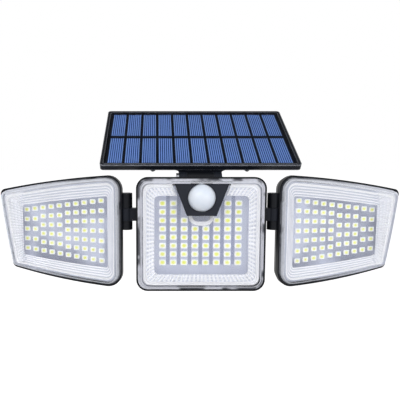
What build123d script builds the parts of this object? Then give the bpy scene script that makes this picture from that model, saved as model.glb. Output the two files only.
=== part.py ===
from build123d import *
import math
import os

# Solar security light with a motion sensor: a main lamp head on a wall housing, a side
# lamp head on each side on a two-axis hinge, and a tilting solar panel above.
# Millimetres.  +Z is up, +X is to the right seen from the front, the wall is the plane
# y = 0 and the light stands out from it towards -Y.  z = 0 is the middle of the main head.

# ---------------------------------------------------------------- driving dimensions
WALL_DEPTH = 112.0          # wall to the front of the main lens

# clearances
RUN_FIT = 0.10              # radial, a pin or stub that turns in its hole
PART_GAP = 0.30             # between pieces that move past each other
DROP_IN = 0.25              # between pieces that drop into a recess

# shells and lenses, all three heads
SHELL_WALL = 2.4
LIP_WIDTH = 1.2             # black lip that shows round the lens flange
LIP_PROUD = 0.5             # the lip stands this far in front of the flange
LENS_WALL = 2.0
FLANGE_THICK = 2.0
GASKET_THICK = 0.8
GASKET_WIDTH = 3.0
SEAT_WIDTH = 5.6            # ledge that carries gasket and flange, from the outline
SEAT_THICK = 2.0
LENS_EDGE_RADIUS = 1.5
BAND_START = 5.0            # thicker prism band on the back of the lens, from its edge
BAND_WIDTH = 7.0
BAND_THICK = 1.2
BOARD_THICK = 1.6
LED_THICK = 0.8

# screws of the heads
SCREW_RADIUS = 1.5
SCREW_HEAD_RADIUS = 3.0
SCREW_HEAD_THICK = 2.0
LENS_POST_RADIUS = 3.0
SHELL_POST_RADIUS = 4.2
LENS_SCREW_BITE = 5.0       # thread length inside the lens post
POST_LAND = 4.0             # shell post left in front of the screw head

# main head
MAIN_WIDTH = 121.6
MAIN_HEIGHT = 108.0
MAIN_CORNER = 11.0
MAIN_LENS_RISE = 5.2        # lens front to the front of its flange
MAIN_LENS_TAPER = 3.3       # how far the lens edge draws in over that rise
MAIN_SHELL_DEPTH = 28.0     # lens front to the back of the rear shell
MAIN_SHELL_TAPER = 3.6
MAIN_LED_DEPTH = 10.2       # lens front to the faces of the leds
MAIN_BACK_FILLET = 4.0
MAIN_BOARD_INSET_X = 9.8    # from the head's outline
MAIN_BOARD_INSET_Z = 8.2
MAIN_BOARD_CORNER = 6.0
MAIN_POST_INSET_X = 11.3    # lens posts, from the head's outline
MAIN_POST_INSET_Z = 10.5
BOARD_POST_INSET_X = 6.0    # board posts, from the board's edge
BOARD_POST_INSET_Z = 10.0
MAIN_LED_SIZE = (6.0, 5.2)
MAIN_LED_PITCH = (10.27, 8.09)
MAIN_LED_COLUMNS = 8
MAIN_LED_ROWS = 8
MAIN_LED_MIDDLE_Z = 0.7
SENSOR_ROWS = {0: 2, 1: 2, 2: 3}   # row from the top: leds kept at each end of the row

# motion sensor
SENSOR_DROP = 19.0          # dome's middle, under the top of the head
BEZEL_RISE = 13.0           # bezel's top edge, over the dome's middle
BEZEL_HEIGHT = 29.6
BEZEL_TOP_WIDTH = 50.3
BEZEL_BOTTOM_WIDTH = 27.3
BEZEL_PROUD = 0.6
BEZEL_SINK = 1.1
DOME_RADIUS = 12.6
DOME_WALL = 1.0
DOME_CENTRE_DEPTH = 1.4
DOME_FLANGE_WIDTH = 2.0
DOME_FLANGE_THICK = 1.0
WELL_RADIUS = 16.6
WELL_TAIL_WIDTH = 24.0
WELL_TAIL_LENGTH = 26.0     # down from the dome's middle
WELL_TAIL_RADIUS = 9.0
WELL_WALL = 1.5
WELL_DEPTH = 7.0
SENSOR_BOARD_WIDTH = 17.0
SENSOR_BOARD_RISE = 11.0    # its top edge, over the dome's middle
SENSOR_BOARD_HEIGHT = 33.0
SENSOR_BOARD_THICK = 1.2
PIR_RADIUS = 4.1
PIR_HEIGHT = 4.2
SPACER_RADIUS = 2.0

# side heads, in a frame with the fold axis as origin: x outwards along the face, y back
HINGE_REACH = 9.5           # fold axis, from the side of the main head
HINGE_DEPTH = 18.0          # fold, twist and panel axes behind the main lens front
RIGHT_HEAD_YAW = 8.4        # outer end leans back
LEFT_HEAD_YAW = 10.4
SIDE_INNER_X = 3.3
SIDE_INNER_TOP_Z = 56.0
SIDE_INNER_BOTTOM_Z = -53.0
SIDE_OUTER_TOP = (127.9, 40.3)
SIDE_OUTER_BOTTOM = (115.6, -36.4)
SIDE_TOP_BOW = 2.4
SIDE_BOTTOM_BOW = 2.8
SIDE_OUTER_BOW = 1.0
SIDE_INNER_CORNER = 14.0
SIDE_OUTER_CORNER = 5.5
SIDE_LENS_FRONT = -12.0
SIDE_LENS_RISE = 5.5
SIDE_LENS_TAPER = 2.0
SIDE_SHELL_DEPTH = 21.0     # lens front to the back of the shell
SIDE_SHELL_TAPER = 3.0
SIDE_BACK_FILLET = 3.0
SIDE_LED_DEPTH = 8.05
SIDE_BOARD_INSET = 9.0
SIDE_LED_SIZE = (5.2, 4.6)
SIDE_LED_FIRST_X = 24.2
SIDE_LED_PITCH = 8.54
SIDE_LED_COUNTS = (7, 7, 7, 7, 7, 6, 6, 6, 5, 5)
SIDE_LED_INNER_SPAN = 58.8
SIDE_LED_OUTER_SPAN = 38.6
SIDE_LED_MIDDLE_Z = 1.5
SIDE_POSTS = ((15.0, 41.0), (15.0, -38.0), (112.0, 30.0), (106.0, -27.0))

# side hinges
TWIST_Z = 17.8
KNUCKLE_RADIUS = 5.5
KNUCKLE_TOP_Z = 38.3
KNUCKLE_BOTTOM_Z = 3.1
TONGUE_HEIGHT = 12.0
STUB_RADIUS = 6.0
NECK_ARM_WIDTH = 8.6
STUB_PAD_RADIUS = 8.4
PAD_SINK = 0.4              # flat round the stub, under the side of the main shell
PAD_LENGTH = 5.9            # pad, to its inside end where the washer bears
WASHER_RADIUS = 7.3
WASHER_THICK = 1.6
HINGE_SCREW_RADIUS = 2.0
HINGE_HEAD_RADIUS = 3.5
HINGE_HEAD_THICK = 2.4
HINGE_NUT_FLATS = 7.0
HINGE_NUT_THICK = 3.2
NECK_SCREW_RADIUS = 1.6
NECK_SCREW_LENGTH = 8.0

# panel hinge and bracket, in a frame with the tilt axis as origin: y up the panel's
# slope, z square to the panel
PANEL_HINGE_DROP = 1.5      # tilt axis, under the top of the main head
PANEL_TILT = 35.4
BARREL_RADIUS = 5.7
FIXED_KNUCKLE_WIDTH = 25.4
BRACKET_WIDTH = 40.6
TROUGH_GAP = 0.6
TROUGH_WALL = 1.9
TROUGH_END = 1.0            # pocket end to the ear, or to the bolt's head
BOLT_RADIUS = 2.5
BOLT_HEAD_RADIUS = 4.8
BOLT_HEAD_THICK = 2.6
BOLT_NUT_FLATS = 8.0
BOLT_NUT_THICK = 4.0
BRACKET_PLATE_THICK = 3.0
BRACKET_PLATE_LENGTH = 44.0
BRACKET_FLARE = 3.0
BRACKET_SCREW_X = 15.0
BRACKET_SCREW_Y = (20.0, 38.0)
BRACKET_FOOT_LENGTH = 12.0

# solar panel
PANEL_WIDTH = 190.7
PANEL_LENGTH = 102.4
PANEL_FRONT_Y = 2.2
PANEL_TOP_Z = 13.5
PANEL_FRAME_THICK = 6.3
PANEL_CORNER = 3.0
PANEL_BORDER = 3.2
PANEL_LEDGE = 3.5
WINDOW_SINK = 0.3
WINDOW_THICK = 1.8
CELL_COLUMNS = 11
CELL_ROWS = 2
CELL_EDGE_X = 3.05          # frame to the first cell
CELL_EDGE_Y = 1.6
CELL_GAP_X = 1.4
CELL_GAP_Y = 2.4
CELL_THICK = 0.3
BACKING_THICK = 1.5
REAR_COVER_THICK = 2.0
REAR_COVER_INSET = 4.2
REAR_RIB = 2.5
PANEL_GLAND_PLACE = (8.0, 8.0)      # x, and how far behind the panel's middle
PANEL_SCREW_RADIUS = 1.25
PANEL_SCREW_HEAD_RADIUS = 2.3
PANEL_SCREW_HEAD_THICK = 1.2

# wall housing, in the row frame
HOUSING_WIDTH = 84.0
HOUSING_HEIGHT = 62.0
HOUSING_MIDDLE_Z = -4.0
HOUSING_CORNER = 9.0
HOUSING_WALL = 2.4
HOUSING_FLANGE = 6.0        # how far the flange stands out
HOUSING_FLANGE_THICK = 3.0
HOUSING_GASKET_THICK = 1.0
HOUSING_BACK_DEPTH = 95.0   # lens front to the back face of the inner partition
HOUSING_SCREW_INSET = 5.0
HOUSING_SCREW_BITE = 8.0
HOUSING_EDGE_FILLET = 1.0
WIRE_HOLE_RADIUS = 5.0

WALL_PLATE_THICK = 4.0
WALL_PLATE_WIDTH = 112.0
WALL_PLATE_HEIGHT = 50.0
WALL_PLATE_CORNER = 8.0
WALL_RIM_HEIGHT = 10.0      # raised rim that the housing slides over
WALL_RIM_WALL = 3.0
WALL_HOLE_SPACING = 96.0
WALL_HOLE_RADIUS = 2.5
LOCK_SCREW_X = 26.0
LOCK_SCREW_RADIUS = 1.75
LOCK_SCREW_LENGTH = 9.0
LOCK_HEAD_RADIUS = 3.2
LOCK_HEAD_THICK = 2.0
LOCK_BOSS_SIZE = 9.0

# battery and electronics
CELL_RADIUS = 9.2
BATTERY_LENGTH = 65.0
HOLDER_WALL = 1.6
HOLDER_END_ROOM = 3.5
HOLDER_FLOOR = 2.0
HOLDER_SIDE_HEIGHT = 13.0
CONTACT_WIDTH = 9.0
CONTACT_THICK = 0.5
BATTERY_Z = 4.0
CONTROL_WIDTH = 68.0
CONTROL_LENGTH = 38.0
CONTROL_FRONT_DEPTH = 34.0
CONTROL_Z = -22.0           # underside of the board
CONTROL_POST_RADIUS = 3.5
CONTROL_POST_INSET = 5.0
CONTROL_SCREW_RADIUS = 1.2
CONTROL_HEAD_RADIUS = 2.4
CONTROL_HEAD_THICK = 1.4
CONTROL_SCREW_BITE = 6.0
CONTROL_CHIPS = (           # x, y on the board, width, length, height
    (-20.0, 6.0, 9.0, 9.0, 1.6),
    (-2.0, 8.0, 5.0, 6.2, 1.6),
    (12.0, 7.0, 8.0, 8.0, 4.0),
    (14.0, -8.0, 6.0, 4.5, 5.5),
    (-14.0, -8.0, 6.0, 4.5, 5.5),
    (0.0, -9.0, 6.0, 4.5, 5.5),
)
CAN_CAPACITOR = (24.0, 0.0, 4.0, 10.0)   # x, y, radius, height

# mode button under the housing
BUTTON_DEPTH = 52.0
BUTTON_RADIUS = 5.0
BUTTON_PROUD = 2.3
BUTTON_TRAVEL = 1.5
BUTTON_FLANGE_RADIUS = 6.6
BUTTON_FLANGE_THICK = 1.4
SWITCH_SIZE = 7.0
SWITCH_BODY_HEIGHT = 3.6
SWITCH_PLUNGER_RADIUS = 1.6

# cable glands
GLAND_RADIUS = 5.0
GLAND_BORE = 1.8
GLAND_HEX_FLATS = 11.0
GLAND_HEX_THICK = 3.5
GLAND_CAP_HEIGHT = 5.0
GLAND_STEM_RADIUS = 3.4
LAMP_GLAND_SETBACK = 24.0   # behind the housing's front face

# ---------------------------------------------------------------- derived values
MAIN_BOARD_WIDTH = MAIN_WIDTH - 2 * MAIN_BOARD_INSET_X
MAIN_BOARD_HEIGHT = MAIN_HEIGHT - 2 * MAIN_BOARD_INSET_Z
MAIN_BOARD_DEPTH = MAIN_LED_DEPTH + LED_THICK
PAD_FACE_X = MAIN_WIDTH / 2 - PAD_SINK
PAD_BACK_X = PAD_FACE_X - PAD_LENGTH
HINGE_X = MAIN_WIDTH / 2 + HINGE_REACH
SENSOR_Z = MAIN_HEIGHT / 2 - SENSOR_DROP
BEZEL_TOP_Z = SENSOR_Z + BEZEL_RISE
BEZEL_BOTTOM_Z = BEZEL_TOP_Z - BEZEL_HEIGHT
SENSOR_BOARD_TOP_Z = SENSOR_Z + SENSOR_BOARD_RISE
SENSOR_BOARD_BOTTOM_Z = SENSOR_BOARD_TOP_Z - SENSOR_BOARD_HEIGHT
PANEL_HINGE_Z = MAIN_HEIGHT / 2 - PANEL_HINGE_DROP
CELL_WIDTH = (
    PANEL_WIDTH - 2 * (PANEL_BORDER + CELL_EDGE_X) - (CELL_COLUMNS - 1) * CELL_GAP_X
) / CELL_COLUMNS
CELL_LENGTH = (
    PANEL_LENGTH - 2 * (PANEL_BORDER + CELL_EDGE_Y) - (CELL_ROWS - 1) * CELL_GAP_Y
) / CELL_ROWS
SIDE_BOARD_DEPTH = SIDE_LED_DEPTH + LED_THICK
SENSOR_BOARD_DEPTH = MAIN_LED_DEPTH - SENSOR_BOARD_THICK - 0.4
TONGUE_BOTTOM_Z = TWIST_Z - TONGUE_HEIGHT / 2
TONGUE_TOP_Z = TWIST_Z + TONGUE_HEIGHT / 2
HOUSING_FRONT_DEPTH = MAIN_SHELL_DEPTH + HOUSING_GASKET_THICK
HOUSING_END_DEPTH = WALL_DEPTH - WALL_PLATE_THICK
PANEL_BASE_Z = PANEL_TOP_Z - PANEL_FRAME_THICK
PANEL_MIDDLE_Y = PANEL_FRONT_Y + PANEL_LENGTH / 2
BACKING_Z = PANEL_TOP_Z - WINDOW_SINK - WINDOW_THICK - CELL_THICK - BACKING_THICK
CELLS_Z = BACKING_Z + BACKING_THICK
WINDOW_Z = CELLS_Z + CELL_THICK
REAR_COVER_Z = PANEL_BASE_Z - REAR_COVER_THICK
BRACKET_Z = REAR_COVER_Z - BRACKET_PLATE_THICK

MAIN_PLACE = Pos(0, -WALL_DEPTH, 0)
SIDE_PLACE = Pos(HINGE_X, HINGE_DEPTH - WALL_DEPTH, 0)
PANEL_PLACE = Pos(0, HINGE_DEPTH - WALL_DEPTH, PANEL_HINGE_Z) * Rot(PANEL_TILT, 0, 0)


# ---------------------------------------------------------------- helpers
def facing(y):
    """Sketch plane seen from the front, at depth y: local x is X, local y is Z."""
    return Plane(origin=(0, y, 0), x_dir=(1, 0, 0), z_dir=(0, -1, 0))


def prism(sketch, y_front, y_back):
    """Straight prism of a front-view sketch, from y_front back to y_back."""
    return extrude(facing(y_back) * sketch, amount=y_back - y_front)


def drafted(sketch_front, y_front, sketch_back, y_back):
    """Solid between two front-view outlines."""
    return loft([facing(y_back) * sketch_back, facing(y_front) * sketch_front])


def rod_x(radius, x0, x1, y=0.0, z=0.0):
    return Pos((x0 + x1) / 2, y, z) * Rot(0, 90, 0) * Cylinder(radius, x1 - x0)


def rod_y(radius, y0, y1, x=0.0, z=0.0):
    return Pos(x, (y0 + y1) / 2, z) * Rot(90, 0, 0) * Cylinder(radius, y1 - y0)


def rod_z(radius, z0, z1, x=0.0, y=0.0):
    return Pos(x, y, (z0 + z1) / 2) * Cylinder(radius, z1 - z0)


def block(x0, x1, y0, y1, z0, z1):
    return Pos((x0 + x1) / 2, (y0 + y1) / 2, (z0 + z1) / 2) * Box(x1 - x0, y1 - y0, z1 - z0)


def hexagon(flats):
    return RegularPolygon(radius=flats / 2, side_count=6, major_radius=False)


def corners(x, z, middle_z=0.0):
    """Four places mirrored about the middle."""
    return [(i * x, middle_z + k * z) for i in (-1, 1) for k in (-1, 1)]


def save(name, shape):
    solids = Compound(children=shape.solids())
    solids.label = name
    export_step(solids, "parts/" + name + ".step")


# ---------------------------------------------------------------- outlines
def main_outline(inset):
    """Front view of the main head, drawn in by inset."""
    return RectangleRounded(
        MAIN_WIDTH - 2 * inset, MAIN_HEIGHT - 2 * inset, max(MAIN_CORNER - inset, 3.0)
    )


def bowed(start, end, bow):
    """Arc from start to end that bulges to the left of the way by bow."""
    dx = end[0] - start[0]
    dz = end[1] - start[1]
    length = math.hypot(dx, dz)
    middle = ((start[0] + end[0]) / 2 - bow * dz / length, (start[1] + end[1]) / 2 + bow * dx / length)
    return ThreePointArc(start, middle, end)


def side_outline(inset):
    """Front view of a side head, tall inner end and short slanted outer end."""
    bottom = (SIDE_INNER_X, SIDE_INNER_BOTTOM_Z)
    top = (SIDE_INNER_X, SIDE_INNER_TOP_Z)
    edges = [
        Line(bottom, top),
        bowed(top, SIDE_OUTER_TOP, SIDE_TOP_BOW),
        bowed(SIDE_OUTER_TOP, SIDE_OUTER_BOTTOM, SIDE_OUTER_BOW),
        bowed(SIDE_OUTER_BOTTOM, bottom, SIDE_BOTTOM_BOW),
    ]
    face = make_face(Wire(edges))
    by_x = face.vertices().sort_by(Axis.X)
    face = fillet(by_x[:2], SIDE_INNER_CORNER)
    outer = [v for v in face.vertices() if v.distance_to(Vector(*SIDE_OUTER_TOP, 0)) < 0.01]
    outer += [v for v in face.vertices() if v.distance_to(Vector(*SIDE_OUTER_BOTTOM, 0)) < 0.01]
    face = fillet(outer, SIDE_OUTER_CORNER)
    if inset:
        face = offset(face, amount=-inset)
    return face


# ---------------------------------------------------------------- lamp heads
def shell_blank(outline, lens_rise, depth, taper, back_fillet):
    """Rear shell without posts, and its outer form, with y = 0 at the lens front."""
    lip_front = lens_rise - LIP_PROUD
    seat = lens_rise + FLANGE_THICK + GASKET_THICK
    ledge_back = seat + SEAT_THICK
    outer = prism(outline(0), lip_front, ledge_back)
    outer += drafted(outline(0), ledge_back, outline(taper), depth)
    outer = fillet(outer.faces().sort_by(Axis.Y)[-1].edges(), back_fillet)
    shell = outer - prism(outline(LIP_WIDTH), lip_front, seat)
    shell -= prism(outline(SEAT_WIDTH), seat, ledge_back)
    shell -= drafted(
        outline(SHELL_WALL), ledge_back, outline(SHELL_WALL + taper), depth - SHELL_WALL
    )
    return shell, outer


def lens_cover(outline, rise, taper, posts, post_end):
    """Clear cover: flange, drafted rim, flat window with a thicker prism band behind."""
    flange_inset = LIP_WIDTH + DROP_IN
    front_inset = flange_inset + taper
    band_inset = front_inset + BAND_START
    back = rise + FLANGE_THICK
    body = drafted(outline(front_inset), 0, outline(flange_inset), rise)
    body = fillet(body.faces().sort_by(Axis.Y)[0].edges(), LENS_EDGE_RADIUS)
    body += prism(outline(flange_inset), rise, back)
    hollow = drafted(
        outline(front_inset + LENS_WALL), LENS_WALL, outline(flange_inset + LENS_WALL + 1.0), back
    )
    body -= hollow
    band = prism(outline(band_inset), LENS_WALL, LENS_WALL + BAND_THICK)
    band -= prism(outline(band_inset + BAND_WIDTH), LENS_WALL, LENS_WALL + BAND_THICK)
    body += band
    for x, z in posts:
        body += rod_y(LENS_POST_RADIUS, LENS_WALL, post_end, x, z)
    for x, z in posts:
        body -= rod_y(SCREW_RADIUS, post_end - LENS_SCREW_BITE, post_end, x, z)
    return body


def lens_gasket(outline, rise):
    front = rise + FLANGE_THICK
    ring = prism(outline(LIP_WIDTH + DROP_IN), front, front + GASKET_THICK)
    return ring - prism(outline(LIP_WIDTH + DROP_IN + GASKET_WIDTH), front, front + GASKET_THICK)


def shell_posts(shell, posts, post_front, depth):
    """Hollow posts for the lens screws, open at the back of the shell."""
    for x, z in posts:
        shell += rod_y(SHELL_POST_RADIUS, post_front, depth - SHELL_WALL / 2, x, z)
    for x, z in posts:
        shell -= rod_y(SCREW_RADIUS + DROP_IN, post_front, depth, x, z)
        shell -= rod_y(SCREW_HEAD_RADIUS + DROP_IN, post_front + POST_LAND, depth, x, z)
    return shell


def lens_screws(posts, post_front):
    screws = []
    for x, z in posts:
        head_front = post_front + POST_LAND
        screw = rod_y(SCREW_RADIUS, post_front - LENS_SCREW_BITE, head_front, x, z)
        screw += rod_y(SCREW_HEAD_RADIUS, head_front, head_front + SCREW_HEAD_THICK, x, z)
        screws.append(screw)
    return Compound(children=screws)


# ---------------------------------------------------------------- main head
def main_posts():
    return corners(MAIN_WIDTH / 2 - MAIN_POST_INSET_X, MAIN_HEIGHT / 2 - MAIN_POST_INSET_Z)


def board_posts():
    x = MAIN_BOARD_WIDTH / 2 - BOARD_POST_INSET_X
    z = MAIN_BOARD_HEIGHT / 2 - BOARD_POST_INSET_Z
    return corners(x, z)


def trough_liner(clearance):
    """Rod round the bracket's pockets in the shell's top, and its ends."""
    radius = BARREL_RADIUS + TROUGH_GAP + TROUGH_WALL + clearance
    left_end = -BRACKET_WIDTH / 2 - BOLT_HEAD_THICK - TROUGH_END - TROUGH_WALL - clearance
    right_end = BRACKET_WIDTH / 2 + TROUGH_END + TROUGH_WALL + clearance
    return rod_x(radius, left_end, right_end, HINGE_DEPTH, PANEL_HINGE_Z)


def panel_trough(shell, outer):
    """Pockets in the shell's top for the bracket ears, and the fixed knuckle between."""
    reach = BARREL_RADIUS + TROUGH_GAP
    half = FIXED_KNUCKLE_WIDTH / 2
    left_end = -BRACKET_WIDTH / 2 - BOLT_HEAD_THICK - TROUGH_END
    right_end = BRACKET_WIDTH / 2 + TROUGH_END
    shell += trough_liner(0) & outer
    for x0, x1 in ((left_end, -half), (half, right_end)):
        shell -= rod_x(reach, x0, x1, HINGE_DEPTH, PANEL_HINGE_Z)
    shell += rod_x(BARREL_RADIUS, -half, half, HINGE_DEPTH, PANEL_HINGE_Z)
    return shell - rod_x(BOLT_RADIUS + RUN_FIT, -half, half, HINGE_DEPTH, PANEL_HINGE_Z)


def twist_sockets(shell):
    """A pad and a round hole in each side wall for the neck stubs."""
    for side in (-1, 1):
        ends = sorted((side * PAD_BACK_X, side * PAD_FACE_X))
        shell += rod_x(STUB_PAD_RADIUS, ends[0], ends[1], HINGE_DEPTH, TWIST_Z)
    for side in (-1, 1):
        ends = sorted((side * PAD_BACK_X, side * PAD_FACE_X))
        shell -= rod_x(STUB_RADIUS + RUN_FIT, ends[0], ends[1], HINGE_DEPTH, TWIST_Z)
        outside = sorted((side * PAD_FACE_X, side * MAIN_WIDTH / 2))
        shell -= rod_x(STUB_PAD_RADIUS, outside[0], outside[1], HINGE_DEPTH, TWIST_Z)
    return shell


def housing_screw_places():
    x = HOUSING_WIDTH / 2 + HOUSING_FLANGE - HOUSING_SCREW_INSET
    z = HOUSING_HEIGHT / 2 + HOUSING_FLANGE - HOUSING_SCREW_INSET
    return corners(x, z, HOUSING_MIDDLE_Z)


def main_rear_shell():
    shell, outer = shell_blank(
        main_outline, MAIN_LENS_RISE, MAIN_SHELL_DEPTH, MAIN_SHELL_TAPER, MAIN_BACK_FILLET
    )
    inside = MAIN_SHELL_DEPTH - SHELL_WALL / 2
    board_back = MAIN_BOARD_DEPTH + BOARD_THICK
    for x, z in board_posts():
        shell += rod_y(LENS_POST_RADIUS, board_back, inside, x, z)
    screw_tip = HOUSING_FRONT_DEPTH - HOUSING_SCREW_BITE
    for x, z in housing_screw_places():
        shell += rod_y(SHELL_POST_RADIUS, screw_tip - 1.0, inside, x, z)
    shell = shell_posts(shell, main_posts(), board_back + DROP_IN, MAIN_SHELL_DEPTH)
    shell = panel_trough(shell, outer)
    shell = twist_sockets(shell)
    for x, z in housing_screw_places():
        shell -= rod_y(SCREW_RADIUS, screw_tip, MAIN_SHELL_DEPTH, x, z)
    shell -= rod_y(WIRE_HOLE_RADIUS, MAIN_BOARD_DEPTH, MAIN_SHELL_DEPTH, 0, HOUSING_MIDDLE_Z)
    return MAIN_PLACE * shell


def bezel_outline(grow):
    """The sensor's trapezoid, wider at the top."""
    half_top = BEZEL_TOP_WIDTH / 2 + grow
    half_bottom = BEZEL_BOTTOM_WIDTH / 2 + grow
    top = BEZEL_TOP_Z + grow
    bottom = BEZEL_BOTTOM_Z - grow
    return Polygon(
        (-half_top, top), (-half_bottom, bottom), (half_bottom, bottom), (half_top, top), align=None
    )


def well_outline(inset):
    """Round well behind the dome with a tail that runs down past the bezel."""
    height = WELL_TAIL_LENGTH + WELL_TAIL_RADIUS
    tail = Pos(0, SENSOR_Z + WELL_TAIL_RADIUS - height / 2) * RectangleRounded(
        WELL_TAIL_WIDTH - 2 * inset, height - 2 * inset, WELL_TAIL_RADIUS - inset
    )
    return tail + Pos(0, SENSOR_Z) * Circle(WELL_RADIUS - inset)


def main_lens_cover():
    post_end = MAIN_BOARD_DEPTH + BOARD_THICK
    cover = lens_cover(main_outline, MAIN_LENS_RISE, MAIN_LENS_TAPER, main_posts(), post_end)
    cover += prism(bezel_outline(2.0), LENS_WALL - 1.0, LENS_WALL + BAND_THICK)
    well = prism(well_outline(0), LENS_WALL - 1.0, WELL_DEPTH)
    cover += well - prism(well_outline(WELL_WALL), LENS_WALL, WELL_DEPTH)
    cover -= prism(well_outline(WELL_WALL), LENS_WALL, LENS_WALL + BAND_THICK)
    cover -= prism(bezel_outline(DROP_IN), -1.0, BEZEL_SINK)
    cover -= rod_y(DOME_RADIUS + DROP_IN, -1.0, WELL_DEPTH, 0, SENSOR_Z)
    return MAIN_PLACE * cover


def sensor_bezel():
    plate = prism(bezel_outline(0), -BEZEL_PROUD, BEZEL_SINK)
    plate -= rod_y(DOME_RADIUS + DROP_IN, -BEZEL_PROUD, BEZEL_SINK, 0, SENSOR_Z)
    return MAIN_PLACE * plate


def sensor_dome():
    centre = Pos(0, DOME_CENTRE_DEPTH, SENSOR_Z)
    front = centre * Pos(0, -DOME_RADIUS, 0) * Box(3 * DOME_RADIUS, 2 * DOME_RADIUS, 3 * DOME_RADIUS)
    dome = (centre * Sphere(DOME_RADIUS)) & front
    dome += rod_y(DOME_RADIUS, DOME_CENTRE_DEPTH, LENS_WALL + DOME_FLANGE_THICK, 0, SENSOR_Z)
    dome += rod_y(DOME_RADIUS + DOME_FLANGE_WIDTH, LENS_WALL, LENS_WALL + DOME_FLANGE_THICK, 0, SENSOR_Z)
    dome -= centre * Sphere(DOME_RADIUS - DOME_WALL) & front
    dome -= rod_y(
        DOME_RADIUS - DOME_WALL, DOME_CENTRE_DEPTH, LENS_WALL + DOME_FLANGE_THICK, 0, SENSOR_Z
    )
    return MAIN_PLACE * dome


def sensor_board():
    board = block(
        -SENSOR_BOARD_WIDTH / 2, SENSOR_BOARD_WIDTH / 2,
        SENSOR_BOARD_DEPTH, SENSOR_BOARD_DEPTH + SENSOR_BOARD_THICK,
        SENSOR_BOARD_BOTTOM_Z, SENSOR_BOARD_TOP_Z,
    )
    return MAIN_PLACE * board


def sensor_spacers():
    """Standoffs between the sensor board and the led board."""
    z_low = SENSOR_BOARD_BOTTOM_Z + 2 * SPACER_RADIUS
    z_high = SENSOR_BOARD_TOP_Z - 2 * SPACER_RADIUS
    back = MAIN_BOARD_DEPTH
    front = SENSOR_BOARD_DEPTH + SENSOR_BOARD_THICK
    spacers = [rod_y(SPACER_RADIUS, front, back, 0, z) for z in (z_low, z_high)]
    return MAIN_PLACE * Compound(children=spacers)


def pir_sensor():
    can = rod_y(PIR_RADIUS, SENSOR_BOARD_DEPTH - PIR_HEIGHT, SENSOR_BOARD_DEPTH, 0, SENSOR_Z)
    rim = rod_y(PIR_RADIUS + 0.6, SENSOR_BOARD_DEPTH - 0.6, SENSOR_BOARD_DEPTH, 0, SENSOR_Z)
    return MAIN_PLACE * (can + rim)


def main_led_board():
    outline = RectangleRounded(MAIN_BOARD_WIDTH, MAIN_BOARD_HEIGHT, MAIN_BOARD_CORNER)
    board = prism(outline, MAIN_BOARD_DEPTH, MAIN_BOARD_DEPTH + BOARD_THICK)
    for x, z in main_posts():
        board -= rod_y(SHELL_POST_RADIUS + PART_GAP, MAIN_BOARD_DEPTH, MAIN_BOARD_DEPTH + BOARD_THICK, x, z)
    board -= trough_liner(PART_GAP)
    return MAIN_PLACE * board


def main_led_places():
    places = []
    for row in range(MAIN_LED_ROWS):
        z = MAIN_LED_MIDDLE_Z + ((MAIN_LED_ROWS - 1) / 2 - row) * MAIN_LED_PITCH[1]
        kept = SENSOR_ROWS.get(row, MAIN_LED_COLUMNS)
        for column in range(MAIN_LED_COLUMNS):
            if kept <= column < MAIN_LED_COLUMNS - kept:
                continue
            x = (column - (MAIN_LED_COLUMNS - 1) / 2) * MAIN_LED_PITCH[0]
            places.append((x, z))
    return places


def led_group(places, size, face_depth):
    """One flat package per place, its face towards the lens."""
    leds = []
    for x, z in places:
        leds.append(block(
            x - size[0] / 2, x + size[0] / 2, face_depth, face_depth + LED_THICK,
            z - size[1] / 2, z + size[1] / 2,
        ))
    return Compound(children=leds)


# ---------------------------------------------------------------- side heads
def side_rear_shell():
    shell, outer = shell_blank(
        side_outline, SIDE_LENS_RISE, SIDE_SHELL_DEPTH, SIDE_SHELL_TAPER, SIDE_BACK_FILLET
    )
    post_front = SIDE_BOARD_DEPTH + BOARD_THICK + DROP_IN
    shell = shell_posts(shell, SIDE_POSTS, post_front, SIDE_SHELL_DEPTH)
    shell = Pos(0, SIDE_LENS_FRONT, 0) * shell
    reach = SIDE_INNER_X + SHELL_WALL + SIDE_SHELL_TAPER
    solid_head = Pos(0, SIDE_LENS_FRONT, 0) * outer
    ears = []
    for z0, z1 in ((KNUCKLE_BOTTOM_Z, TONGUE_BOTTOM_Z - PART_GAP), (TONGUE_TOP_Z + PART_GAP, KNUCKLE_TOP_Z)):
        ear = rod_z(KNUCKLE_RADIUS, z0, z1)
        ear += block(0, reach, -KNUCKLE_RADIUS + 1.0, KNUCKLE_RADIUS - 1.0, z0, z1)
        ears.append(ear)
    for ear in ears:
        shell += ear - solid_head
    shell -= rod_z(KNUCKLE_RADIUS + PART_GAP, TONGUE_BOTTOM_Z - PART_GAP, TONGUE_TOP_Z + PART_GAP)
    shell -= rod_z(HINGE_SCREW_RADIUS, KNUCKLE_BOTTOM_Z, KNUCKLE_TOP_Z)
    shell -= rod_z(HINGE_HEAD_RADIUS + DROP_IN, KNUCKLE_TOP_Z - HINGE_HEAD_THICK, KNUCKLE_TOP_Z)
    shell -= Pos(0, 0, KNUCKLE_BOTTOM_Z) * extrude(hexagon(HINGE_NUT_FLATS + DROP_IN), HINGE_NUT_THICK)
    return shell


def side_lens_cover():
    post_end = SIDE_BOARD_DEPTH + BOARD_THICK
    cover = lens_cover(side_outline, SIDE_LENS_RISE, SIDE_LENS_TAPER, SIDE_POSTS, post_end)
    return Pos(0, SIDE_LENS_FRONT, 0) * cover


def side_gasket():
    return Pos(0, SIDE_LENS_FRONT, 0) * lens_gasket(side_outline, SIDE_LENS_RISE)


def side_led_board():
    back = SIDE_BOARD_DEPTH + BOARD_THICK
    board = prism(side_outline(SIDE_BOARD_INSET), SIDE_BOARD_DEPTH, back)
    for x, z in SIDE_POSTS:
        board -= rod_y(LENS_POST_RADIUS + PART_GAP, SIDE_BOARD_DEPTH, back, x, z)
    return Pos(0, SIDE_LENS_FRONT, 0) * board


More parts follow.
